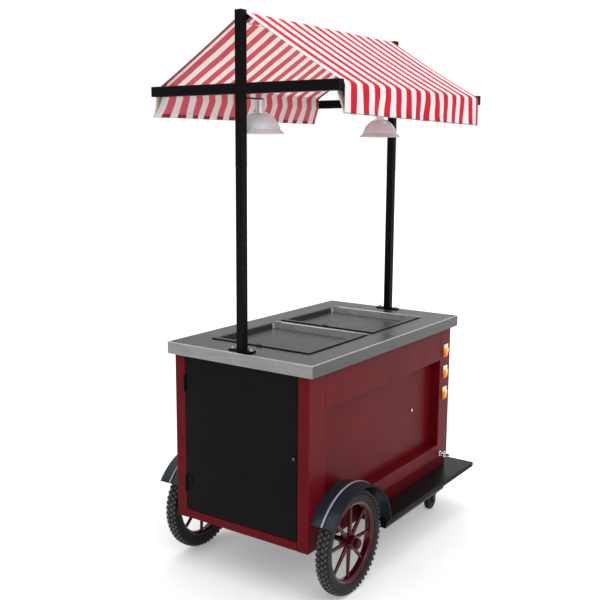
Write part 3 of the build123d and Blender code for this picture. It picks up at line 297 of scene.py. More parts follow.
def amberMaterial(name, pale, amber, deep, rough):
    material, tree, shader = newMaterial(name)
    vector = objectVector(tree)
    skin = useGroup(tree, "paintSkin", {"Vector": vector})
    level = mathNode(tree, "SUBTRACT", splitNode(tree, vector)["Z"],
                     switchLook["firstLevel"] + switchLook["pitch"] / 2)
    step = mathNode(tree, "FRACT", mathNode(tree, "DIVIDE", level, switchLook["pitch"]))
    # up is the painted highlight at the top of each switch, down the painted shade below.
    up = rangeNode(tree, step, switchLook["paleSpan"])
    down = rangeNode(tree, step, switchLook["deepSpan"], (1.0, 0.0))
    body = mixColour(tree, down, amber, deep)
    body = mixColour(tree, mathNode(tree, "MULTIPLY", skin["Dull"], switchLook["dullShare"]), body, deep)
    plugAll(tree, shader, {
        "Base Color": mixColour(tree, up, body, pale),
        "Roughness": rangeNode(tree, skin["Dull"], result=(rough, rough + switchLook["dullRough"])),
        "Normal": bumpNormal(tree, skin["Ripple"], switchLook["grain"], switchLook["depth"]),
    })
    return material


looks = {
    "cabinet_red": paintMaterial("cabinetRed", rgb(98, 11, 21), rgb(86, 9, 17), rgb(140, 66, 66),
                                 rough=(0.3, 0.42), shine=0.06),
    # The chassis red is a darker copy of the cabinet red: painted shade below the bottom rail.
    "chassis_red": paintMaterial("chassisRed", rgb(84, 8, 17), rgb(66, 5, 12), rgb(120, 60, 60),
                                 rough=(0.42, 0.55), shine=0.05),
    "black_paint": paintMaterial("blackPaint", rgb(13, 13, 14), rgb(9, 9, 10), rgb(76, 76, 78),
                                 rough=(0.44, 0.58), shine=0.06),
    "board_black": paintMaterial("boardBlack", rgb(18, 19, 21), rgb(12, 13, 15), rgb(84, 86, 90),
                                 rough=(0.3, 0.44), ripple=0.06, chips=0.15, shine=0.2),
    "guard_paint": paintMaterial("guardPaint", rgb(32, 40, 52), rgb(22, 28, 37), rgb(150, 156, 162),
                                 rough=(0.26, 0.38), ripple=0.04, coat=0.08, chips=0.8, shine=0.3),
    "wheel_red": paintMaterial("wheelRed", rgb(70, 3, 15), rgb(52, 2, 10), rgb(140, 70, 70),
                               rough=(0.16, 0.26), ripple=0.06, coat=0.2, shine=0.2),
    "stainless": metalMaterial("stainless", rgb(120, 120, 120), rgb(102, 102, 103), stretch=(7, 420, 60),
                               rough=(0.26, 0.4), grain=0.05, cloud=rgb(138, 139, 138)),
    "zinc": metalMaterial("zincPlate", rgb(206, 208, 210), rgb(176, 178, 182), stretch=(60, 60, 60),
                          rough=(0.3, 0.45), grain=0.08),
    "chrome": metalMaterial("chromePlate", rgb(222, 224, 226), rgb(204, 206, 210), stretch=(40, 40, 40),
                            rough=(0.1, 0.2), grain=0.03),
    "caster_steel": metalMaterial("casterSteel", rgb(48, 48, 51), rgb(36, 36, 39), stretch=(50, 50, 50),
                                  rough=(0.42, 0.58), grain=0.1),
    "plain_steel": metalMaterial("plainSteel", rgb(150, 150, 152), rgb(126, 126, 130), stretch=(8, 300, 300),
                                 rough=(0.34, 0.48)),
    "tyre": rubberMaterial("tyreRubber", rgb(13, 13, 14), rgb(23, 23, 23), rgb(186, 184, 178), rough=0.5),
    "caster_rubber": rubberMaterial("casterRubber", rgb(16, 16, 17), rgb(28, 28, 29), rgb(80, 80, 79),
                                    rough=0.55),
    "switch_orange": amberMaterial("switchFrame", rgb(250, 232, 196), rgb(240, 150, 30), rgb(222, 92, 24),
                                   rough=0.32),
    "rocker_amber": amberMaterial("rockerAmber", rgb(252, 244, 220), rgb(250, 190, 60), rgb(232, 120, 30),
                                  rough=0.2),
    "shade_white": mouldedMaterial("shadeGlass", rgb(208, 208, 212), rgb(196, 196, 201), rough=0.16,
                                   grain=0.02, subsurface=0.4),
    "bulb_glass": mouldedMaterial("bulbGlass", rgb(246, 240, 226), rgb(236, 228, 210), rough=0.12,
                                  grain=0.01, subsurface=0.5),
    "inlet_plastic": mouldedMaterial("inletPlastic", rgb(24, 24, 26), rgb(18, 18, 20), rough=0.45),
    "box_grey": mouldedMaterial("boxGrey", rgb(176, 178, 180), rgb(160, 162, 166), rough=0.5),
}

# Nodes whose finish differs from the rest of their slot.
lockSteel = metalMaterial("lockSteel", rgb(96, 90, 90), rgb(78, 73, 73), stretch=(60, 60, 60),
                          rough=(0.35, 0.5), grain=0.05)
hingeSteel = metalMaterial("hingeSteel", rgb(206, 206, 206), rgb(180, 180, 182), stretch=(300, 6, 300),
                           rough=(0.2, 0.32), grain=0.03)
holderSteel = metalMaterial("holderSteel", rgb(240, 240, 241), rgb(220, 220, 222), stretch=(40, 40, 40),
                            rough=(0.3, 0.4), grain=0.03)
hubPaint = paintMaterial("hubPaint", rgb(54, 4, 12), rgb(42, 3, 9), rgb(120, 64, 64),
                         rough=(0.36, 0.48), shine=0.1)
ownLooks = {
    "door_lock": lockSteel, "lid_hinges": hingeSteel, "lamp_holders": holderSteel,
    "axle": looks["caster_steel"], "front_hub_cap": hubPaint, "back_hub_cap": hubPaint,
}
for name, shape in nodes.items():
    for part in shape.material_slots:
        if part.material.name in looks:
            part.material = looks[part.material.name]
    if name in ownLooks:
        shape.material_slots[0].material = ownLooks[name]
print("materials made:", len(looks))


def finishPiece(piece, body, replaced=()):
    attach(piece, body)
    if replaced:
        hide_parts(*replaced)
    return piece


def pieceFromMesh(bm, name, material, sharp=35):
    mesh = bpy.data.meshes.new(name)
    bm.to_mesh(mesh)
    bm.free()
    mesh.shade_smooth()
    mesh.set_sharp_from_angle(angle=math.radians(sharp))
    mesh.materials.append(material)
    piece = bpy.data.objects.new(name, mesh)
    bpy.context.scene.collection.objects.link(piece)
    return piece


# Striped canopy cloth over the ridge bar and both eave bars. Sag, by side, grows from a start to a share.
canopyLow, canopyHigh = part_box("canopy")
clothForm = {
    "nearX": canopyLow.x, "length": 1.087, "ridge": 2.1698, "eaveSide": canopyHigh.y, "eaveLevel": 1.9085,
    "ridgeRound": 0.014, "eaveRound": 0.02, "drop": 0.102, "farDrop": 0.014,
    "thickness": 0.0024, "plainShare": 0.5, "hem": 0.014, "uvSize": 1.25, "sharp": 80,
    "columns": 150, "ridgeRows": 4, "slopeRows": 32, "foldRows": 8, "dropRows": 14,
    "sagNear": 0.003, "sagFar": 0.005, "sagStart": {-1: 0.35, 1: 0.3}, "sagShare": {-1: 1.0, 1: 0.4},
    "ripple": 0.0009, "rippleRate": 17.0,
}
valanceForm = {
    "waves": [{"height": 1.0, "rate": 21.0, "start": 0.0, "bySide": 1.3},
              {"height": 0.6, "rate": 37.0, "start": -0.7, "bySide": 1.0},
              {"height": 0.45, "rate": 71.0, "start": 0.0, "bySide": 2.1}],
    "depth": 0.0048, "depthPower": 1.2, "flare": 0.018, "flarePower": 1.5, "flareEnd": 0.16,
    "lean": 0.0034, "leanTurns": 2.2, "leanReach": 0.9, "leanEven": 0.7, "leanVaries": 0.3, "leanRate": 13.0,
}


# Lengths along the cloth, from the ridge line to the hem of one side.
def clothLengths():
    rise = clothForm["ridge"] - clothForm["eaveLevel"]
    tilt = math.atan2(rise, clothForm["eaveSide"])
    turn = math.pi / 2 - tilt
    atRidge = clothForm["ridgeRound"] * math.tan(tilt)
    atEave = clothForm["eaveRound"] * math.tan(turn / 2)
    slant = math.hypot(rise, clothForm["eaveSide"])
    return {"tilt": tilt, "atRidge": atRidge, "foldLevel": clothForm["eaveLevel"] - atEave,
            "ridge": clothForm["ridgeRound"] * tilt, "slope": slant - atRidge - atEave,
            "fold": clothForm["eaveRound"] * turn, "drop": clothForm["drop"] - atEave}


def clothStations():
    stations = [0.0]
    for run in ("ridge", "slope", "fold", "drop"):
        start, count = stations[-1], clothForm[run + "Rows"]
        stations += [start + clothRun[run] * step / count for step in range(1, count + 1)]
    return stations


clothRun = clothLengths()
clothRows = clothStations()
clothHalf = clothRows[-1]


def smoothStep(value, low, high):
    share = min(1.0, max(0.0, (value - low) / (high - low)))
    return share * share * (3 - 2 * share)


def alongCloth(along):
    return clothForm["nearX"] + along * clothForm["length"]


def ridgePoint(side, reach, along):
    angle = reach / clothForm["ridgeRound"]
    centre = clothForm["ridge"] - clothForm["ridgeRound"] / math.cos(clothRun["tilt"])
    return Vector((alongCloth(along), side * clothForm["ridgeRound"] * math.sin(angle),
                   centre + clothForm["ridgeRound"] * math.cos(angle)))


def slopePoint(side, reach, along):
    x, tilt = alongCloth(along), clothRun["tilt"]
    share = reach / clothRun["slope"]
    down = reach + clothRun["atRidge"]
    far = clothForm["sagShare"][side] * smoothStep(along, clothForm["sagStart"][side], 1.0)
    sag = clothForm["sagNear"] + (clothForm["sagFar"] - clothForm["sagNear"]) * far
    sag *= 4 * share * (1 - share)
    sag += clothForm["ripple"] * math.sin(x * clothForm["rippleRate"] + side) * math.sin(math.pi * share)
    return Vector((x, side * (down * math.cos(tilt) - sag * math.sin(tilt)),
                   clothForm["ridge"] - down * math.sin(tilt) - sag * math.cos(tilt)))


def foldPoint(side, reach, along):
    angle = clothRun["tilt"] + reach / clothForm["eaveRound"]
    foldSide = clothForm["eaveSide"] - clothForm["eaveRound"]
    return Vector((alongCloth(along), side * (foldSide + clothForm["eaveRound"] * math.sin(angle)),
                   clothRun["foldLevel"] + clothForm["eaveRound"] * math.cos(angle)))


def valanceWave(side, x):
    return sum(wave["height"] * math.sin(x * wave["rate"] + wave["start"] + wave["bySide"] * side)
               for wave in valanceForm["waves"])


def valanceLean(x, share):
    bend = math.sin(valanceForm["leanTurns"] * math.pi * min(1.0, share * valanceForm["leanReach"]))
    varies = valanceForm["leanEven"] + valanceForm["leanVaries"] * math.sin(x * valanceForm["leanRate"])
    return valanceForm["lean"] * bend * varies


# The valance waves, its far front corner hangs lower and its near back corner stands out.
def valancePoint(side, reach, along):
    x, share = alongCloth(along), reach / clothRun["drop"]
    out = share ** valanceForm["depthPower"] * valanceForm["depth"] * valanceWave(side, x)
    lower = 0.0
    if side > 0:
        corner = smoothStep(along, valanceForm["flareEnd"], 0.0)
        out += valanceForm["flare"] * share ** valanceForm["flarePower"] * corner
    else:
        lower = clothForm["farDrop"] * along * share
    x += valanceLean(x, share) * 4 * along * (1 - along)
    return Vector((x, side * (clothForm["eaveSide"] + out), clothRun["foldLevel"] - reach - lower))


# A point of the cloth: reach is measured from the ridge line down, along from 0 to 1.
def clothPoint(side, reach, along):
    for run, point in (("ridge", ridgePoint), ("slope", slopePoint), ("fold", foldPoint)):
        if reach <= clothRun[run]:
            return point(side, reach, along)
        reach -= clothRun[run]
    return valancePoint(side, reach, along)


stripeLook = {"first": 0.057, "pitch": 0.079, "redShare": 0.52, "soft": 0.02,
              "drift": {"scale": 9.0, "detail": 2.0}, "driftSpan": (0.3, 0.7), "driftBy": (-0.0022, 0.0022)}
clothLook = {
    "mottle": {"scale": 6.0, "detail": 5.0, "roughness": 0.6, "span": (0.3, 0.7)},
    "hemWhite": rgb(222, 212, 206), "hemRed": rgb(104, 12, 28),
    "hemLine": 0.004, "lineTone": rgb(104, 104, 104),
    "edgeSoft": 0.001, "dropSoft": 0.004, "dropBinding": 0.1,
    "thread": 0.0018, "weave": 0.06, "bump": 0.35, "bumpDepth": 0.003,
    "creases": {"scale": 16.0, "detail": 4.0, "roughness": 0.55, "distortion": 0.6},
    "finish": {"Roughness": 0.85, "Sheen Weight": 0.04, "Specular IOR Level": 0.15},
}
insideTrim = {"hem": 0.85, "line": 0.15, "binding": 0.92, "bindingWidth": 0.018,
              "bindingTone": rgb(136, 8, 40)}
# The underside is painted lighter and pinker than the top, as painted light through the cloth; the linings
# are painted darker than the underside, as painted shade under the eaves.
clothFaces = {
    "canopyTop": {"red": (rgb(186, 12, 32), rgb(200, 18, 38)),
                  "white": (rgb(214, 211, 216), rgb(223, 221, 225)),
                  "hem": 0.25, "line": 0.55, "binding": 0.5, "bindingWidth": 0.005,
                  "bindingTone": rgb(150, 140, 146)},
    "canopyUnderside": {"red": (rgb(211, 75, 92), rgb(218, 94, 108)),
                        "white": (rgb(246, 238, 230), rgb(252, 246, 240)), **insideTrim},
    "canopyLining": {"red": (rgb(189, 72, 91), rgb(196, 86, 102)),
                     "white": (rgb(209, 203, 196), rgb(215, 209, 204)), **insideTrim},
}


def stripeMask(tree, metres, across):
    drift = rangeNode(tree, noiseNode(tree, metres, **stripeLook["drift"]), stripeLook["driftSpan"],
                      stripeLook["driftBy"])
    start = mathNode(tree, "ADD", across, drift)
    start = mathNode(tree, "SUBTRACT", start, stripeLook["first"] - stripeLook["pitch"] / 2)
    phase = mathNode(tree, "FRACT", mathNode(tree, "DIVIDE", start, stripeLook["pitch"]))
    away = mathNode(tree, "ABSOLUTE", mathNode(tree, "SUBTRACT", phase, 0.5))
    edge = stripeLook["redShare"] / 2
    return rangeNode(tree, away, (edge - stripeLook["soft"], edge + stripeLook["soft"]), (1.0, 0.0))


def nearestEdge(tree, place, size):
    return mathNode(tree, "MINIMUM", place, mathNode(tree, "SUBTRACT", size, place))


# Hem band, stitch line and bound side edges, laid over the stripes.
def trimColour(tree, body, stripe, split, look):
    fromHem = nearestEdge(tree, split["Y"], 2 * clothHalf)
    fromSide = nearestEdge(tree, split["X"], clothForm["length"])
    soft, hemWidth, lineWidth = clothLook["edgeSoft"], clothForm["hem"], clothLook["hemLine"]
    hem = rangeNode(tree, fromHem, (hemWidth - soft, hemWidth + soft), (1.0, 0.0))
    hemTone = mixColour(tree, stripe, clothLook["hemWhite"], clothLook["hemRed"])
    body = mixColour(tree, mathNode(tree, "MULTIPLY", hem, look["hem"]), body, hemTone)
    line = rangeNode(tree, fromHem, (lineWidth - soft, lineWidth), (1.0, 0.0))
    body = mixColour(tree, mathNode(tree, "MULTIPLY", line, look["line"]), body, clothLook["lineTone"])
    width, drop = look["bindingWidth"], clothForm["drop"]
    binding = rangeNode(tree, fromSide, (width - soft, width), (look["binding"], 0.0))
    slope = rangeNode(tree, fromHem, (drop, drop + clothLook["dropSoft"]), (clothLook["dropBinding"], 1.0))
    return mixColour(tree, mathNode(tree, "MULTIPLY", binding, slope), body, look["bindingTone"])


def weaveNormal(tree, metres, split):
    turns = 2 * math.pi / clothLook["thread"]
    warp = mathNode(tree, "SINE", mathNode(tree, "MULTIPLY", split["X"], turns))
    weft = mathNode(tree, "SINE", mathNode(tree, "MULTIPLY", split["Y"], turns))
    weave = mathNode(tree, "MULTIPLY", mathNode(tree, "MULTIPLY", warp, weft), clothLook["weave"])
    height = mathNode(tree, "ADD", weave, noiseNode(tree, metres, **clothLook["creases"]))
    return bumpNormal(tree, height, clothLook["bump"], clothLook["bumpDepth"])


def clothMaterial(name):
    look = clothFaces[name]
    material, tree, shader = newMaterial(name)
    flat = addNode(tree, "ShaderNodeUVMap", {"uv_map": "clothUv"}, {}).outputs["UV"]
    metres = vectorNode(tree, "SCALE", {0: flat, "Scale": clothForm["uvSize"]})[0]
    split = splitNode(tree, metres)
    stripe = stripeMask(tree, metres, split["X"])
    mottle = noiseMask(tree, metres, **clothLook["mottle"])
    white, red = (mixColour(tree, mottle, *look[tone]) for tone in ("white", "red"))
    body = mixColour(tree, stripe, white, red)
    plugAll(tree, shader, {"Base Color": trimColour(tree, body, stripe, split, look),
                           "Normal": weaveNormal(tree, metres, split), **clothLook["finish"]})
    return material


def flattenOut(bm, uv, flat):
    for face in bm.faces:
        for corner in face.loops:
            corner[uv].uv = Vector(flat[corner.vert]) / clothForm["uvSize"]


def turnTowards(bm, facing):
    bmesh.ops.recalc_face_normals(bm, faces=bm.faces)
    if sum(face.normal.dot(facing) for face in bm.faces) < 0:
        bmesh.ops.reverse_faces(bm, faces=bm.faces)


def newCloth(columns, rows):
    bm = bmesh.new()
    bmesh.ops.create_grid(bm, x_segments=columns, y_segments=rows, size=0.5)
    return bm, bm.loops.layers.uv.new("clothUv")


def gridPlace(vert, rows):
    return vert.co.x + 0.5, round((vert.co.y + 0.5) * rows)


def thicken(piece, thickness):
    solid = piece.modifiers.new("clothThickness", "SOLIDIFY")
    solid.thickness = thickness
    solid.offset = -1.0
    return solid


def buildCloth():
    middle = len(clothRows) - 1
    bm, uv = newCloth(clothForm["columns"], 2 * middle)
    deform = bm.verts.layers.deform.new()
    flat = {}
    for vert in bm.verts:
        along, row = gridPlace(vert, 2 * middle)
        side = 1 if row > middle else -1
        reach = clothRows[abs(row - middle)]
        vert.co = clothPoint(side, reach, along)
        flat[vert] = (along * clothForm["length"], clothHalf + side * reach)
        vert[deform][0] = 1.0 if clothHalf - reach < clothForm["hem"] else 0.0
    flattenOut(bm, uv, flat)
    turnTowards(bm, Vector((0, 0, 1)))
    piece = pieceFromMesh(bm, "canopyCloth", clothMaterial("canopyTop"), clothForm["sharp"])
    piece.data.materials.append(litUnderCloth)
    piece.vertex_groups.new(name="hem")
    solid = thicken(piece, clothForm["thickness"])
    solid.vertex_group = "hem"  # the hem is folded, so the rest is half as thick
    solid.thickness_vertex_group = clothForm["plainShare"]
    solid.material_offset = 1
    return finishPiece(piece, "cart", ("canopy",))


# Linings that the eave bars lie behind, sewn to the slope and to the hem of the valance.
liningForm = {
    "gap": 0.0028, "up": 0.034, "columns": 110, "thickness": 0.001, "backing": 0.0042, "dropRows": 9,
    "seamStep": 0.35, "seamIn": 0.0009, "seamDown": 0.0014, "seamFall": 0.004,
}
barLow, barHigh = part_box("eave_bars")


def finishLining(bm, uv, flat, name, facing, material):
    flattenOut(bm, uv, flat)
    turnTowards(bm, facing)
    piece = pieceFromMesh(bm, name, material, clothForm["sharp"])
    thicken(piece, liningForm["thickness"])
    return finishPiece(piece, "cart")


def buildLining(side, name):
    barSize = barHigh.z - barLow.z
    inner, bottom = barHigh.y - barSize - liningForm["gap"], barLow.z - liningForm["gap"]
    eave = clothRun["ridge"] + clothRun["slope"]
    seam = eave - liningForm["up"]
    start = eave + clothRun["fold"] + clothRun["foldLevel"] - bottom
    rows = 3 + liningForm["dropRows"]  # two rows at the seam, one at the bar's top, the rest below the bar
    bm, uv = newCloth(liningForm["columns"], rows)
    flat = {}
    for vert in bm.verts:
        along, row = gridPlace(vert, rows)
        if row < 2:
            reach = seam + row * liningForm["up"] * liningForm["seamStep"]
            down = liningForm["seamDown"] + row * liningForm["seamFall"]
            vert.co = clothPoint(side, reach, along) - Vector((0, side * liningForm["seamIn"], down))
        elif row == 2:
            reach = start - (barHigh.z - bottom)
            vert.co = Vector((alongCloth(along), side * inner, barHigh.z))
        else:
            share = (row - 3) / liningForm["dropRows"]
            reach = start + (clothHalf - start) * share
            place = clothPoint(side, reach, along)
            out = inner + (abs(place.y) - liningForm["backing"] - inner) * share
            vert.co = Vector((place.x, side * out, place.z))
        flat[vert] = (along * clothForm["length"], clothHalf + side * reach)
    return finishLining(bm, uv, flat, name, Vector((0, -side, 0)), shadedLiningCloth)


# The sleeve round the ridge bar, sewn to both slopes. Its corner is in steps in and up from the bar's foot.
sleeveForm = {"spread": 0.0315, "seam": 0.0245, "corner": [(0.0055, 0.0), (0.0015, 0.0012), (0.0, 0.0042)],
              "flatFrom": 0.5, "flatStep": 0.01}


def buildSleeve(name):
    low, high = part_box("ridge_bar")
    side, bottom = high.y + liningForm["gap"], low.z - liningForm["gap"]
    spread, seam = sleeveForm["spread"], clothForm["ridge"] - sleeveForm["seam"]
    half = [(side - inwards, bottom + up) for inwards, up in sleeveForm["corner"]]
    half += [((half[-1][0] + spread) / 2, (half[-1][1] + seam) / 2), (spread, seam)]
    outline = [(-y, z) for y, z in reversed(half)] + half
    rows = len(outline) - 1
    bm, uv = newCloth(liningForm["columns"], rows)
    flat = {}
    for vert in bm.verts:
        along, row = gridPlace(vert, rows)
        vert.co = Vector((alongCloth(along), *outline[row]))
        flat[vert] = (along * clothForm["length"], sleeveForm["flatFrom"] + sleeveForm["flatStep"] * row)
    return finishLining(bm, uv, flat, name, Vector((0, 0, -1)), litUnderCloth)


# The underside cloth carries painted light through the cloth.
litUnderCloth = clothMaterial("canopyUnderside")
# The lining cloth is a darker copy of the underside: painted shade under the eaves.
shadedLiningCloth = clothMaterial("canopyLining")
canopyCloth = buildCloth()
pockets = [buildLining(-1, "frontEaveLining"), buildLining(1, "backEaveLining"), buildSleeve("ridgePocket")]
print("canopy cloth made")


# Spun rings for the tyres and wheels. Their points are (across, out) from the middle of the wheel's box.
ringMerge = 1e-6


def wheelCentre(end):
    low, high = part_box(end + "_wheel")
    return (low + high) / 2


def spinRing(bm, points, steps):
    verts = [bm.verts.new((0, across, out)) for across, out in points]
    edges = [bm.edges.new((verts[index - 1], verts[index])) for index in range(len(verts))]
    bmesh.ops.spin(bm, geom=verts + edges, cent=(0, 0, 0), axis=(0, 1, 0), angle=2 * math.pi, steps=steps,
                   use_merge=True)


def mirrored(points):
    return [(-across, out) for across, out in reversed(points)]


# Tyres: a spun carcass with a middle and a shoulder row of tread blocks on each side.
tyreForm = {
    "blocks": 56, "blockRound": 0.001, "steps": 96, "topWear": 0.6, "sideWear": 0.14, "sharp": 32,
    "section": [(0.0, 0.1992), (0.009, 0.1986), (0.0165, 0.1963), (0.0212, 0.1926), (0.0241, 0.1866),
                (0.0248, 0.181), (0.0243, 0.1735), (0.0234, 0.166), (0.0226, 0.1602), (0.0216, 0.1578),
                (0.0207, 0.1596), (0.0204, 0.1664)],
    "rows": [
        {"side": 0.0085, "out": 0.1995, "size": (0.0138, 0.0132, 0.011), "lean": 6.0, "slant": 24.0,
         "shift": 0.25},
        {"side": 0.0178, "out": 0.1942, "size": (0.0118, 0.0078, 0.0148), "lean": 38.0, "slant": 0.0,
         "shift": 0.75},
    ],
}


def rotateVerts(bm, verts, angle):
    bmesh.ops.rotate(bm, verts=verts, cent=(0, 0, 0), matrix=Matrix.Rotation(angle, 3, "Y"))


def addBlocks(bm, row, hand, wear):
    place = Matrix.Translation((0, hand * row["side"], row["out"]))
    lean = Matrix.Rotation(math.radians(-hand * row["lean"]), 4, "X")
    slant = Matrix.Rotation(math.radians(hand * row["slant"]), 4, "Z")
    size = Matrix.Diagonal((*row["size"], 1.0))
    block = bmesh.ops.create_cube(bm, size=1.0, matrix=place @ lean @ slant @ size)
    edges = list({edge for vert in block["verts"] for edge in vert.link_edges})
    made = bmesh.ops.bevel(bm, geom=edges, offset=tyreForm["blockRound"], offset_type="OFFSET", segments=1,
                           profile=0.5, affect="EDGES", material=-1)
    verts = list({vert for face in made["faces"] for vert in face.verts})
    faces = list({face for vert in verts for face in vert.link_faces})
    # Block faces take a pale tone, strongest on the top face: partly scuffing and partly a painted highlight.
    highest = max(faces, key=lambda face: face.calc_center_median().z)
    for face in faces:
        for corner in face.loops:
            corner[wear] = tyreForm["topWear"] if face == highest else tyreForm["sideWear"]
    turn = 2 * math.pi / tyreForm["blocks"]
    rotateVerts(bm, verts, turn * row["shift"] * hand)
    for index in range(1, tyreForm["blocks"]):
        copy = bmesh.ops.duplicate(bm, geom=faces)["geom"]
        rotateVerts(bm, [item for item in copy if isinstance(item, bmesh.types.BMVert)], turn * index)


def buildTyre(end):
    bm = bmesh.new()
    wear = bm.loops.layers.float.new("wear")
    spinRing(bm, tyreForm["section"] + mirrored(tyreForm["section"][1:]), tyreForm["steps"])
    bmesh.ops.remove_doubles(bm, verts=bm.verts, dist=ringMerge)
    bmesh.ops.recalc_face_normals(bm, faces=bm.faces)
    for row in tyreForm["rows"]:
        for hand in (1, -1):
            addBlocks(bm, row, hand, wear)
    bmesh.ops.translate(bm, verts=bm.verts, vec=wheelCentre(end))
    piece = pieceFromMesh(bm, end + "TyreTread", looks["tyre"], tyreForm["sharp"])
    finishPiece(piece, bodyOfNode[end + "_tyre"], (end + "_tyre",))


for end in ("front", "back"):
    buildTyre(end)
print("tyres made")


# Wheels: a rolled rim, eight tapered rods and a turned hub.
wheelForm = {
    "spokes": 8, "spokeTurn": -3.0, "spokeRoot": 0.0088, "spokeTip": 0.0062, "spokeFrom": 0.025,
    "spokeTo": 0.1445, "spokeSides": 14, "steps": 96, "hubSteps": 48, "sharp": 42,
    "rimOuter": [(0.0, 0.142), (0.0085, 0.1427), (0.0142, 0.1455), (0.0182, 0.1502), (0.02, 0.157),
                 (0.02, 0.1655)],
    "rimInner": [(0.0172, 0.1655), (0.0162, 0.157), (0.0132, 0.1512), (0.0075, 0.1483), (0.0, 0.1475)],
    "hub": [(0.03, 0.0112), (0.03, 0.0238), (0.0275, 0.0278), (0.0135, 0.0278), (0.0105, 0.0246),
            (0.0, 0.024)],
}


def addSpokes(bm):
    reach = wheelForm["spokeTo"] - wheelForm["spokeFrom"]
    out = Matrix.Translation((0, 0, (wheelForm["spokeTo"] + wheelForm["spokeFrom"]) / 2))
    for index in range(wheelForm["spokes"]):
        angle = math.radians(wheelForm["spokeTurn"]) + index * 2 * math.pi / wheelForm["spokes"]
        turn = Matrix.Rotation(math.pi / 2 - angle, 4, "Y")
        bmesh.ops.create_cone(bm, cap_ends=True, segments=wheelForm["spokeSides"], depth=reach,
                              radius1=wheelForm["spokeRoot"], radius2=wheelForm["spokeTip"],
                              matrix=turn @ out)


def buildWheel(end):
    bm = bmesh.new()
    outer, inner, hub = wheelForm["rimOuter"], wheelForm["rimInner"], wheelForm["hub"]
    spinRing(bm, mirrored(outer[1:]) + outer + inner + mirrored(inner[:-1]), wheelForm["steps"])
    spinRing(bm, hub + mirrored(hub[:-1]), wheelForm["hubSteps"])
    bmesh.ops.remove_doubles(bm, verts=bm.verts, dist=ringMerge)
    addSpokes(bm)
    bmesh.ops.recalc_face_normals(bm, faces=bm.faces)
    bmesh.ops.translate(bm, verts=bm.verts, vec=wheelCentre(end))
    piece = pieceFromMesh(bm, end + "WheelRods", looks["wheel_red"], wheelForm["sharp"])
    finishPiece(piece, bodyOfNode[end + "_wheel"], (end + "_wheel",))


for end in ("front", "back"):
    buildWheel(end)
print("wheels made")


# Rounded copies of CAD nodes: faces merged, outer edges rounded, and wear marked on the rounding.
copyForm = {"merge": 4e-6, "flatAngle": 0.6, "cornerTurn": 0.6, "segments": 2, "sharp": 20,
            "flatArea": 2e-5}


def camel(name):
    first, *rest = name.split("_")
    return first + "".join(word.capitalize() for word in rest)


def mergedCopy(name, cuts):
    bm = bmesh.new()
    bm.from_mesh(nodes[name].data)
    bmesh.ops.remove_doubles(bm, verts=bm.verts, dist=copyForm["merge"])
    bmesh.ops.dissolve_limit(bm, verts=bm.verts, edges=bm.edges,
                             angle_limit=math.radians(copyForm["flatAngle"]))
    for place, across in cuts:
        bmesh.ops.bisect_plane(bm, geom=bm.verts[:] + bm.edges[:] + bm.faces[:], dist=copyForm["merge"],
                               plane_co=place, plane_no=across)
    return bm


def outerCorner(edge):
    return edge.is_manifold and edge.is_convex and edge.calc_face_angle(0.0) > copyForm["cornerTurn"]


def roundEdges(bm, width, shortest, keep, wear):
    edges = [edge for edge in bm.edges if outerCorner(edge) and edge.calc_length() > shortest and keep(edge)]
    made = bmesh.ops.bevel(bm, geom=edges, offset=width, offset_type="OFFSET", segments=copyForm["segments"],
                           profile=0.5, affect="EDGES", clamp_overlap=True, material=-1)
    for face in made["faces"]:
        for corner in face.loops:
            corner[wear] = 1.0


# Rounds are (width, shortest edge, which edges), extras (material, which faces), cuts (place, normal).
def softCopy(name, rounds, material=None, extras=(), cuts=(), flatArea=copyForm["flatArea"]):
    bm = mergedCopy(name, cuts)
    wear = bm.loops.layers.float.new("wear")
    for width, shortest, keep in rounds:
        roundEdges(bm, width, shortest, keep, wear)
    bmesh.ops.remove_doubles(bm, verts=bm.verts, dist=copyForm["merge"])
    for index, (_, chosen) in enumerate(extras, 1):
        for face in bm.faces:
            if chosen(face):
                face.material_index = index
    bmesh.ops.triangulate(bm, faces=[face for face in bm.faces if len(face.verts) > 4])
    piece = pieceFromMesh(bm, camel(name) + "Skin", material or looks[slotOfNode[name]], copyForm["sharp"])
    for extra, _ in extras:
        piece.data.materials.append(extra)
    for face in piece.data.polygons:
        face.use_smooth = face.area < flatArea
    return finishPiece(piece, bodyOfNode[name], (name,))


# Which edges and faces are taken. The limits are shares of a run's or a normal's length.
pickLimit = {"straight": 0.98, "square": 0.9, "upright": 0.5, "leaning": 0.4, "upward": 0.1}


def anyEdge(edge):
    return True


def alongAxis(axis):
    def keep(edge):
        run = edge.verts[1].co - edge.verts[0].co
        return abs(run[axis]) > pickLimit["straight"] * run.length
    return keep


def squareTo(axis):
    def chosen(face):
        return abs(face.normal[axis]) > pickLimit["square"]
    return chosen


def upright(face):
    return abs(face.normal.z) < pickLimit["upright"]


frameRound = [(0.0025, 0.12, anyEdge)]
postRound = [(0.003, 0.5, alongAxis(2)), (0.0012, 0.025, anyEdge)]
barRound = [(0.002, 0.5, alongAxis(0))]
rockerRound = [(0.001, 0.01, anyEdge)]
softRounds = {
    "front_face_frame": frameRound, "back_face_frame": frameRound, "far_end_frame": frameRound,
    "door_surround": frameRound, "end_door": [(0.0015, 0.02, anyEdge)],
    "near_post": postRound, "far_post": postRound, "cross_arms": [(0.003, 0.2, alongAxis(1))],
    "eave_bars": barRound, "ridge_bar": barRound,
    "lip_rails": [(0.0015, 0.2, alongAxis(0))], "chassis_sills": [(0.003, 0.2, alongAxis(0))],
    "switch_housings": [(0.0009, 0.025, anyEdge)],
    "upper_rocker": rockerRound, "middle_rocker": rockerRound, "lower_rocker": rockerRound,
}
for name, rounds in softRounds.items():
    softCopy(name, rounds)

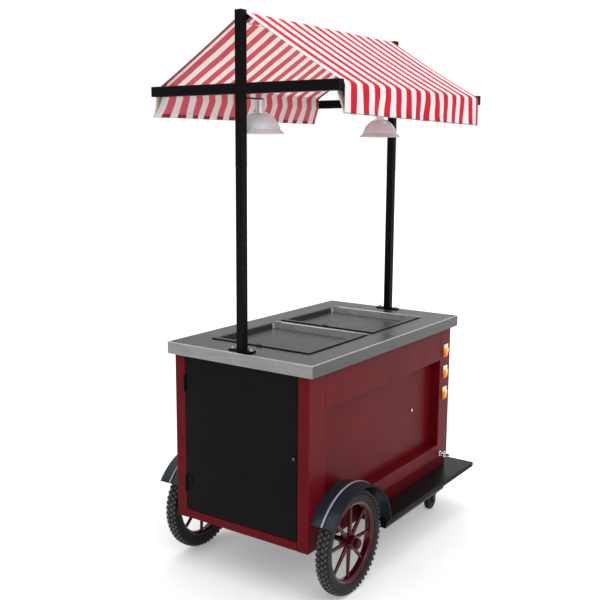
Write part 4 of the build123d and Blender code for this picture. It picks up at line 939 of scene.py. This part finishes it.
boardRound = [(0.003, 0.05, anyEdge)]
for name in ("running_boards", "end_platform"):
    softCopy(name, boardRound, extras=[(looks["black_paint"], upright)])


# Mudguards: the lip is painted black as painted shade, and the crown of the bead is painted light as a
# painted highlight.
guardForm = {"axisZ": 0.195, "beadTop": 0.2437, "smoothArea": 1.0}
guardAxisX = wheelCentre("front").x
# The bead paint is a light copy of the guard paint: a painted highlight on the crown of the bead.
beadPaint = paintMaterial("beadPaint", rgb(150, 156, 166), rgb(118, 124, 134), rgb(170, 174, 180),
                          rough=(0.24, 0.34), shine=0.5)


def beadHighlightCrown(face):
    middle = face.calc_center_median()
    return math.hypot(middle.x - guardAxisX, middle.z - guardForm["axisZ"]) > guardForm["beadTop"]


for name in ("front_mudguard", "back_mudguard"):
    # The faces square to Y, the lip, take black paint as painted shade.
    guard = softCopy(name, [], extras=[(looks["black_paint"], squareTo(1)), (beadPaint, beadHighlightCrown)],
                     flatArea=guardForm["smoothArea"])
    guard.modifiers.new("evenNormals", "WEIGHTED_NORMAL").keep_sharp = True


# Lids: brushed sheet with a dark folded edge; the inner walls are painted darker as painted shade and the far
# wall lighter as painted light; the top rim is painted bright as a painted highlight, and the hinge edge is
# bright hinge steel.
lidForm = {"pull": 0.008, "edge": 0.001, "hinge": 0.01, "rounds": [(0.0012, 0.05, anyEdge)]}
lidSteel = metalMaterial("lidSteel", rgb(100, 100, 103), rgb(92, 92, 95), stretch=(6, 260, 260),
                         rough=(0.32, 0.42), grain=0.02)
lidUnder = metalMaterial("lidUnder", rgb(190, 190, 192), rgb(166, 166, 169), stretch=(6, 260, 260),
                         rough=(0.42, 0.55), grain=0.03)
# The two wall steels are one satin steel, painted darker where the walls lie in shade and lighter where the
# far wall faces the light.
shadedWall = metalMaterial("lidWallDark", rgb(96, 96, 97), rgb(84, 84, 86), stretch=(60, 60, 60),
                         rough=(0.5, 0.6), grain=0.03)
litWall = metalMaterial("lidWallBright", rgb(226, 226, 228), rgb(202, 202, 205), stretch=(60, 60, 60),
                           rough=(0.5, 0.6), grain=0.03)
# The folded edge is given a dark rubber finish.
lidSeal = rubberMaterial("lidSeal", rgb(16, 16, 17), rgb(28, 28, 29), rgb(60, 60, 60), rough=0.6)


def lidFaces(low, high, rimLevel):
    def outside(middle):
        return middle.x < low.x + lidForm["edge"] or abs(middle.y) > high.y - lidForm["edge"]

    def skirt(face):
        middle = face.calc_center_median()
        return upright(face) and outside(middle) and middle.z < rimLevel

    def inner(face):
        middle = face.calc_center_median()
        return upright(face) and not outside(middle) and middle.z < rimLevel

    def farWall(face):
        return inner(face) and face.normal.x < -pickLimit["leaning"]

    # The top rim is painted bright as a painted highlight; the hinge edge is hinge steel.
    def hingeAndRimHighlight(face):
        middle = face.calc_center_median()
        return middle.z > rimLevel + lidForm["edge"] or middle.x > high.x - lidForm["hinge"]

    def underside(face):
        return face.normal.z < -pickLimit["upright"]
    return [(lidSeal, skirt), (shadedWall, inner), (litWall, farWall), (hingeSteel, hingeAndRimHighlight),
            (lidUnder, underside)]


for name in ("near_lid", "far_lid"):
    low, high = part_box(name)
    rimLevel = high.z - lidForm["pull"]
    softCopy(name, lidForm["rounds"], material=lidSteel, extras=lidFaces(low, high, rimLevel),
             cuts=[((0, 0, rimLevel), (0, 0, 1))])


# Worktop: a band along the upper edge is painted bright as a painted highlight; the end skirts are painted
# lighter and the front and back skirts darker, as painted light and shade, each with its own grain.
topForm = {"rubbed": 0.005}
topLow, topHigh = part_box("worktop")
# Lighter steel on the end skirts and darker steel on the front and back skirts: painted light and painted
# shade on one brushed steel.
skirtSteel = metalMaterial("skirtSteel", rgb(140, 140, 139), rgb(118, 119, 118), stretch=(7, 7, 300),
                           rough=(0.3, 0.44), grain=0.05, cloud=rgb(158, 160, 156))
sideSteel = metalMaterial("sideSteel", rgb(88, 87, 86), rgb(74, 74, 74), stretch=(7, 7, 300),
                          rough=(0.3, 0.44), grain=0.05, cloud=rgb(104, 102, 101))
# The edge steel is a lighter copy of the steel and stands for a painted highlight along the upper edge.
edgeSteel = metalMaterial("edgeSteel", rgb(212, 212, 212), rgb(178, 178, 178), stretch=(20, 20, 200),
                          rough=(0.45, 0.6), grain=0.03)


def topEdgeSheen(face):
    middle = face.calc_center_median()
    inside = min(middle.x - topLow.x, topHigh.x - middle.x, middle.y - topLow.y, topHigh.y - middle.y)
    return inside < topForm["rubbed"] and face.normal.z > pickLimit["upward"]


rubbed = topForm["rubbed"]
topCuts = [((topLow.x + rubbed, 0, 0), (1, 0, 0)), ((topHigh.x - rubbed, 0, 0), (1, 0, 0)),
           ((0, topLow.y + rubbed, 0), (0, 1, 0)), ((0, topHigh.y - rubbed, 0), (0, 1, 0))]
softCopy("worktop", [], extras=[(skirtSteel, squareTo(0)), (sideSteel, squareTo(1)), (edgeSteel, topEdgeSheen)],
         cuts=topCuts)


# Floor, light and camera. The floor glows a little, more so away from the cart.
stageLook = {
    "floorSize": 120.0, "floorCells": 8, "floor": rgb(238, 238, 240), "floorDeep": rgb(232, 232, 234),
    "floorFinish": {"Roughness": 0.8, "Specular IOR Level": 0.1, "Emission Color": (1.0, 1.0, 1.0, 1.0)},
    "glowSpan": (1.2, 7.0), "glow": (0.25, 0.5),
    "sideways": (0.57, -0.82, 0.0), "sideSpan": (-0.2, 0.25), "sideLight": (0.16, 0.5),
    "riseSpan": (0.1, 0.75), "zenith": 1.2,
}
lights = {
    "keyLight": {"place": (-2.6, -3.4, 3.6), "target": (0.0, 0.0, 1.2), "size": 2.4, "power": 52.0},
    "topLight": {"place": (0.3, 0.2, 4.6), "target": (0.0, 0.0, 1.0), "size": 3.0, "power": 52.0},
}
cameraView = {"place": Vector((-3.1569, -2.0266, 1.6902)), "right": Vector((0.56856, -0.82264, 0.0)),
              "up": Vector((0.13875, 0.09589, 0.98567)), "roll": 0.00623, "lens": 53.15, "sensor": 36.0,
              "clipEnd": 100.0}


def buildFloor():
    cells = stageLook["floorCells"]
    bm = bmesh.new()
    bmesh.ops.create_grid(bm, x_segments=cells, y_segments=cells, size=stageLook["floorSize"] / 2)
    material, tree, shader = newMaterial("paleFloor")
    vector = objectVector(tree)
    skin = useGroup(tree, "paintSkin", {"Vector": vector})
    away = vectorNode(tree, "LENGTH", {0: vector})["Value"]
    plugAll(tree, shader, {
        "Base Color": mixColour(tree, skin["Shade"], stageLook["floorDeep"], stageLook["floor"]),
        "Emission Strength": rangeNode(tree, away, stageLook["glowSpan"], stageLook["glow"]),
        **stageLook["floorFinish"],
    })
    pieceFromMesh(bm, "floor", material)


# The sky is brighter above and to one side, and plain white where the camera sees it.
def buildWorld():
    world = bpy.data.worlds.new("softStudio")
    world.use_nodes = True
    tree = world.node_tree
    background = next(node for node in tree.nodes if node.type == "BACKGROUND")
    look = tree.nodes.new("ShaderNodeTexCoord").outputs["Generated"]
    across = vectorNode(tree, "DOT_PRODUCT", {0: look, 1: stageLook["sideways"]})["Value"]
    low = rangeNode(tree, across, stageLook["sideSpan"], stageLook["sideLight"])
    rise = rangeNode(tree, splitNode(tree, look)["Z"], stageLook["riseSpan"])
    above = mathNode(tree, "SUBTRACT", stageLook["zenith"], low)
    sky = mathNode(tree, "MULTIPLY_ADD", above, rise, low)
    seen = tree.nodes.new("ShaderNodeLightPath").outputs["Is Camera Ray"]
    plugAll(tree, background.inputs, {"Strength": mathNode(tree, "MAXIMUM", sky, seen),
                                      "Color": (1.0, 1.0, 1.0, 1.0)})
    bpy.context.scene.world = world


def buildLight(name, place, target, size, power):
    data = bpy.data.lights.new(name, "AREA")
    data.shape = "RECTANGLE"
    data.size = data.size_y = size
    data.energy = power
    light = bpy.data.objects.new(name, data)
    light.location = place
    light.rotation_mode = "QUATERNION"
    light.rotation_quaternion = (Vector(target) - Vector(place)).to_track_quat("-Z", "Y")
    bpy.context.scene.collection.objects.link(light)


def buildCamera():
    data = bpy.data.cameras.new("photoCamera")
    data.lens = cameraView["lens"]
    data.sensor_width = cameraView["sensor"]
    data.clip_end = cameraView["clipEnd"]
    data.dof.use_dof = False
    level = math.sqrt(1 - cameraView["roll"] ** 2)
    right = cameraView["right"] * level + cameraView["up"] * cameraView["roll"]
    up = cameraView["up"] * level - cameraView["right"] * cameraView["roll"]
    turn = Matrix((right, up, right.cross(up))).transposed()
    camera = bpy.data.objects.new("photoCamera", data)
    camera.matrix_world = Matrix.Translation(cameraView["place"]) @ turn.to_4x4()
    bpy.context.scene.collection.objects.link(camera)
    bpy.context.scene.camera = camera


buildWorld()
bpy.context.scene.view_settings.view_transform = "Standard"
buildFloor()
for name, light in lights.items():
    buildLight(name, **light)
buildCamera()
print("floor, light and camera set")
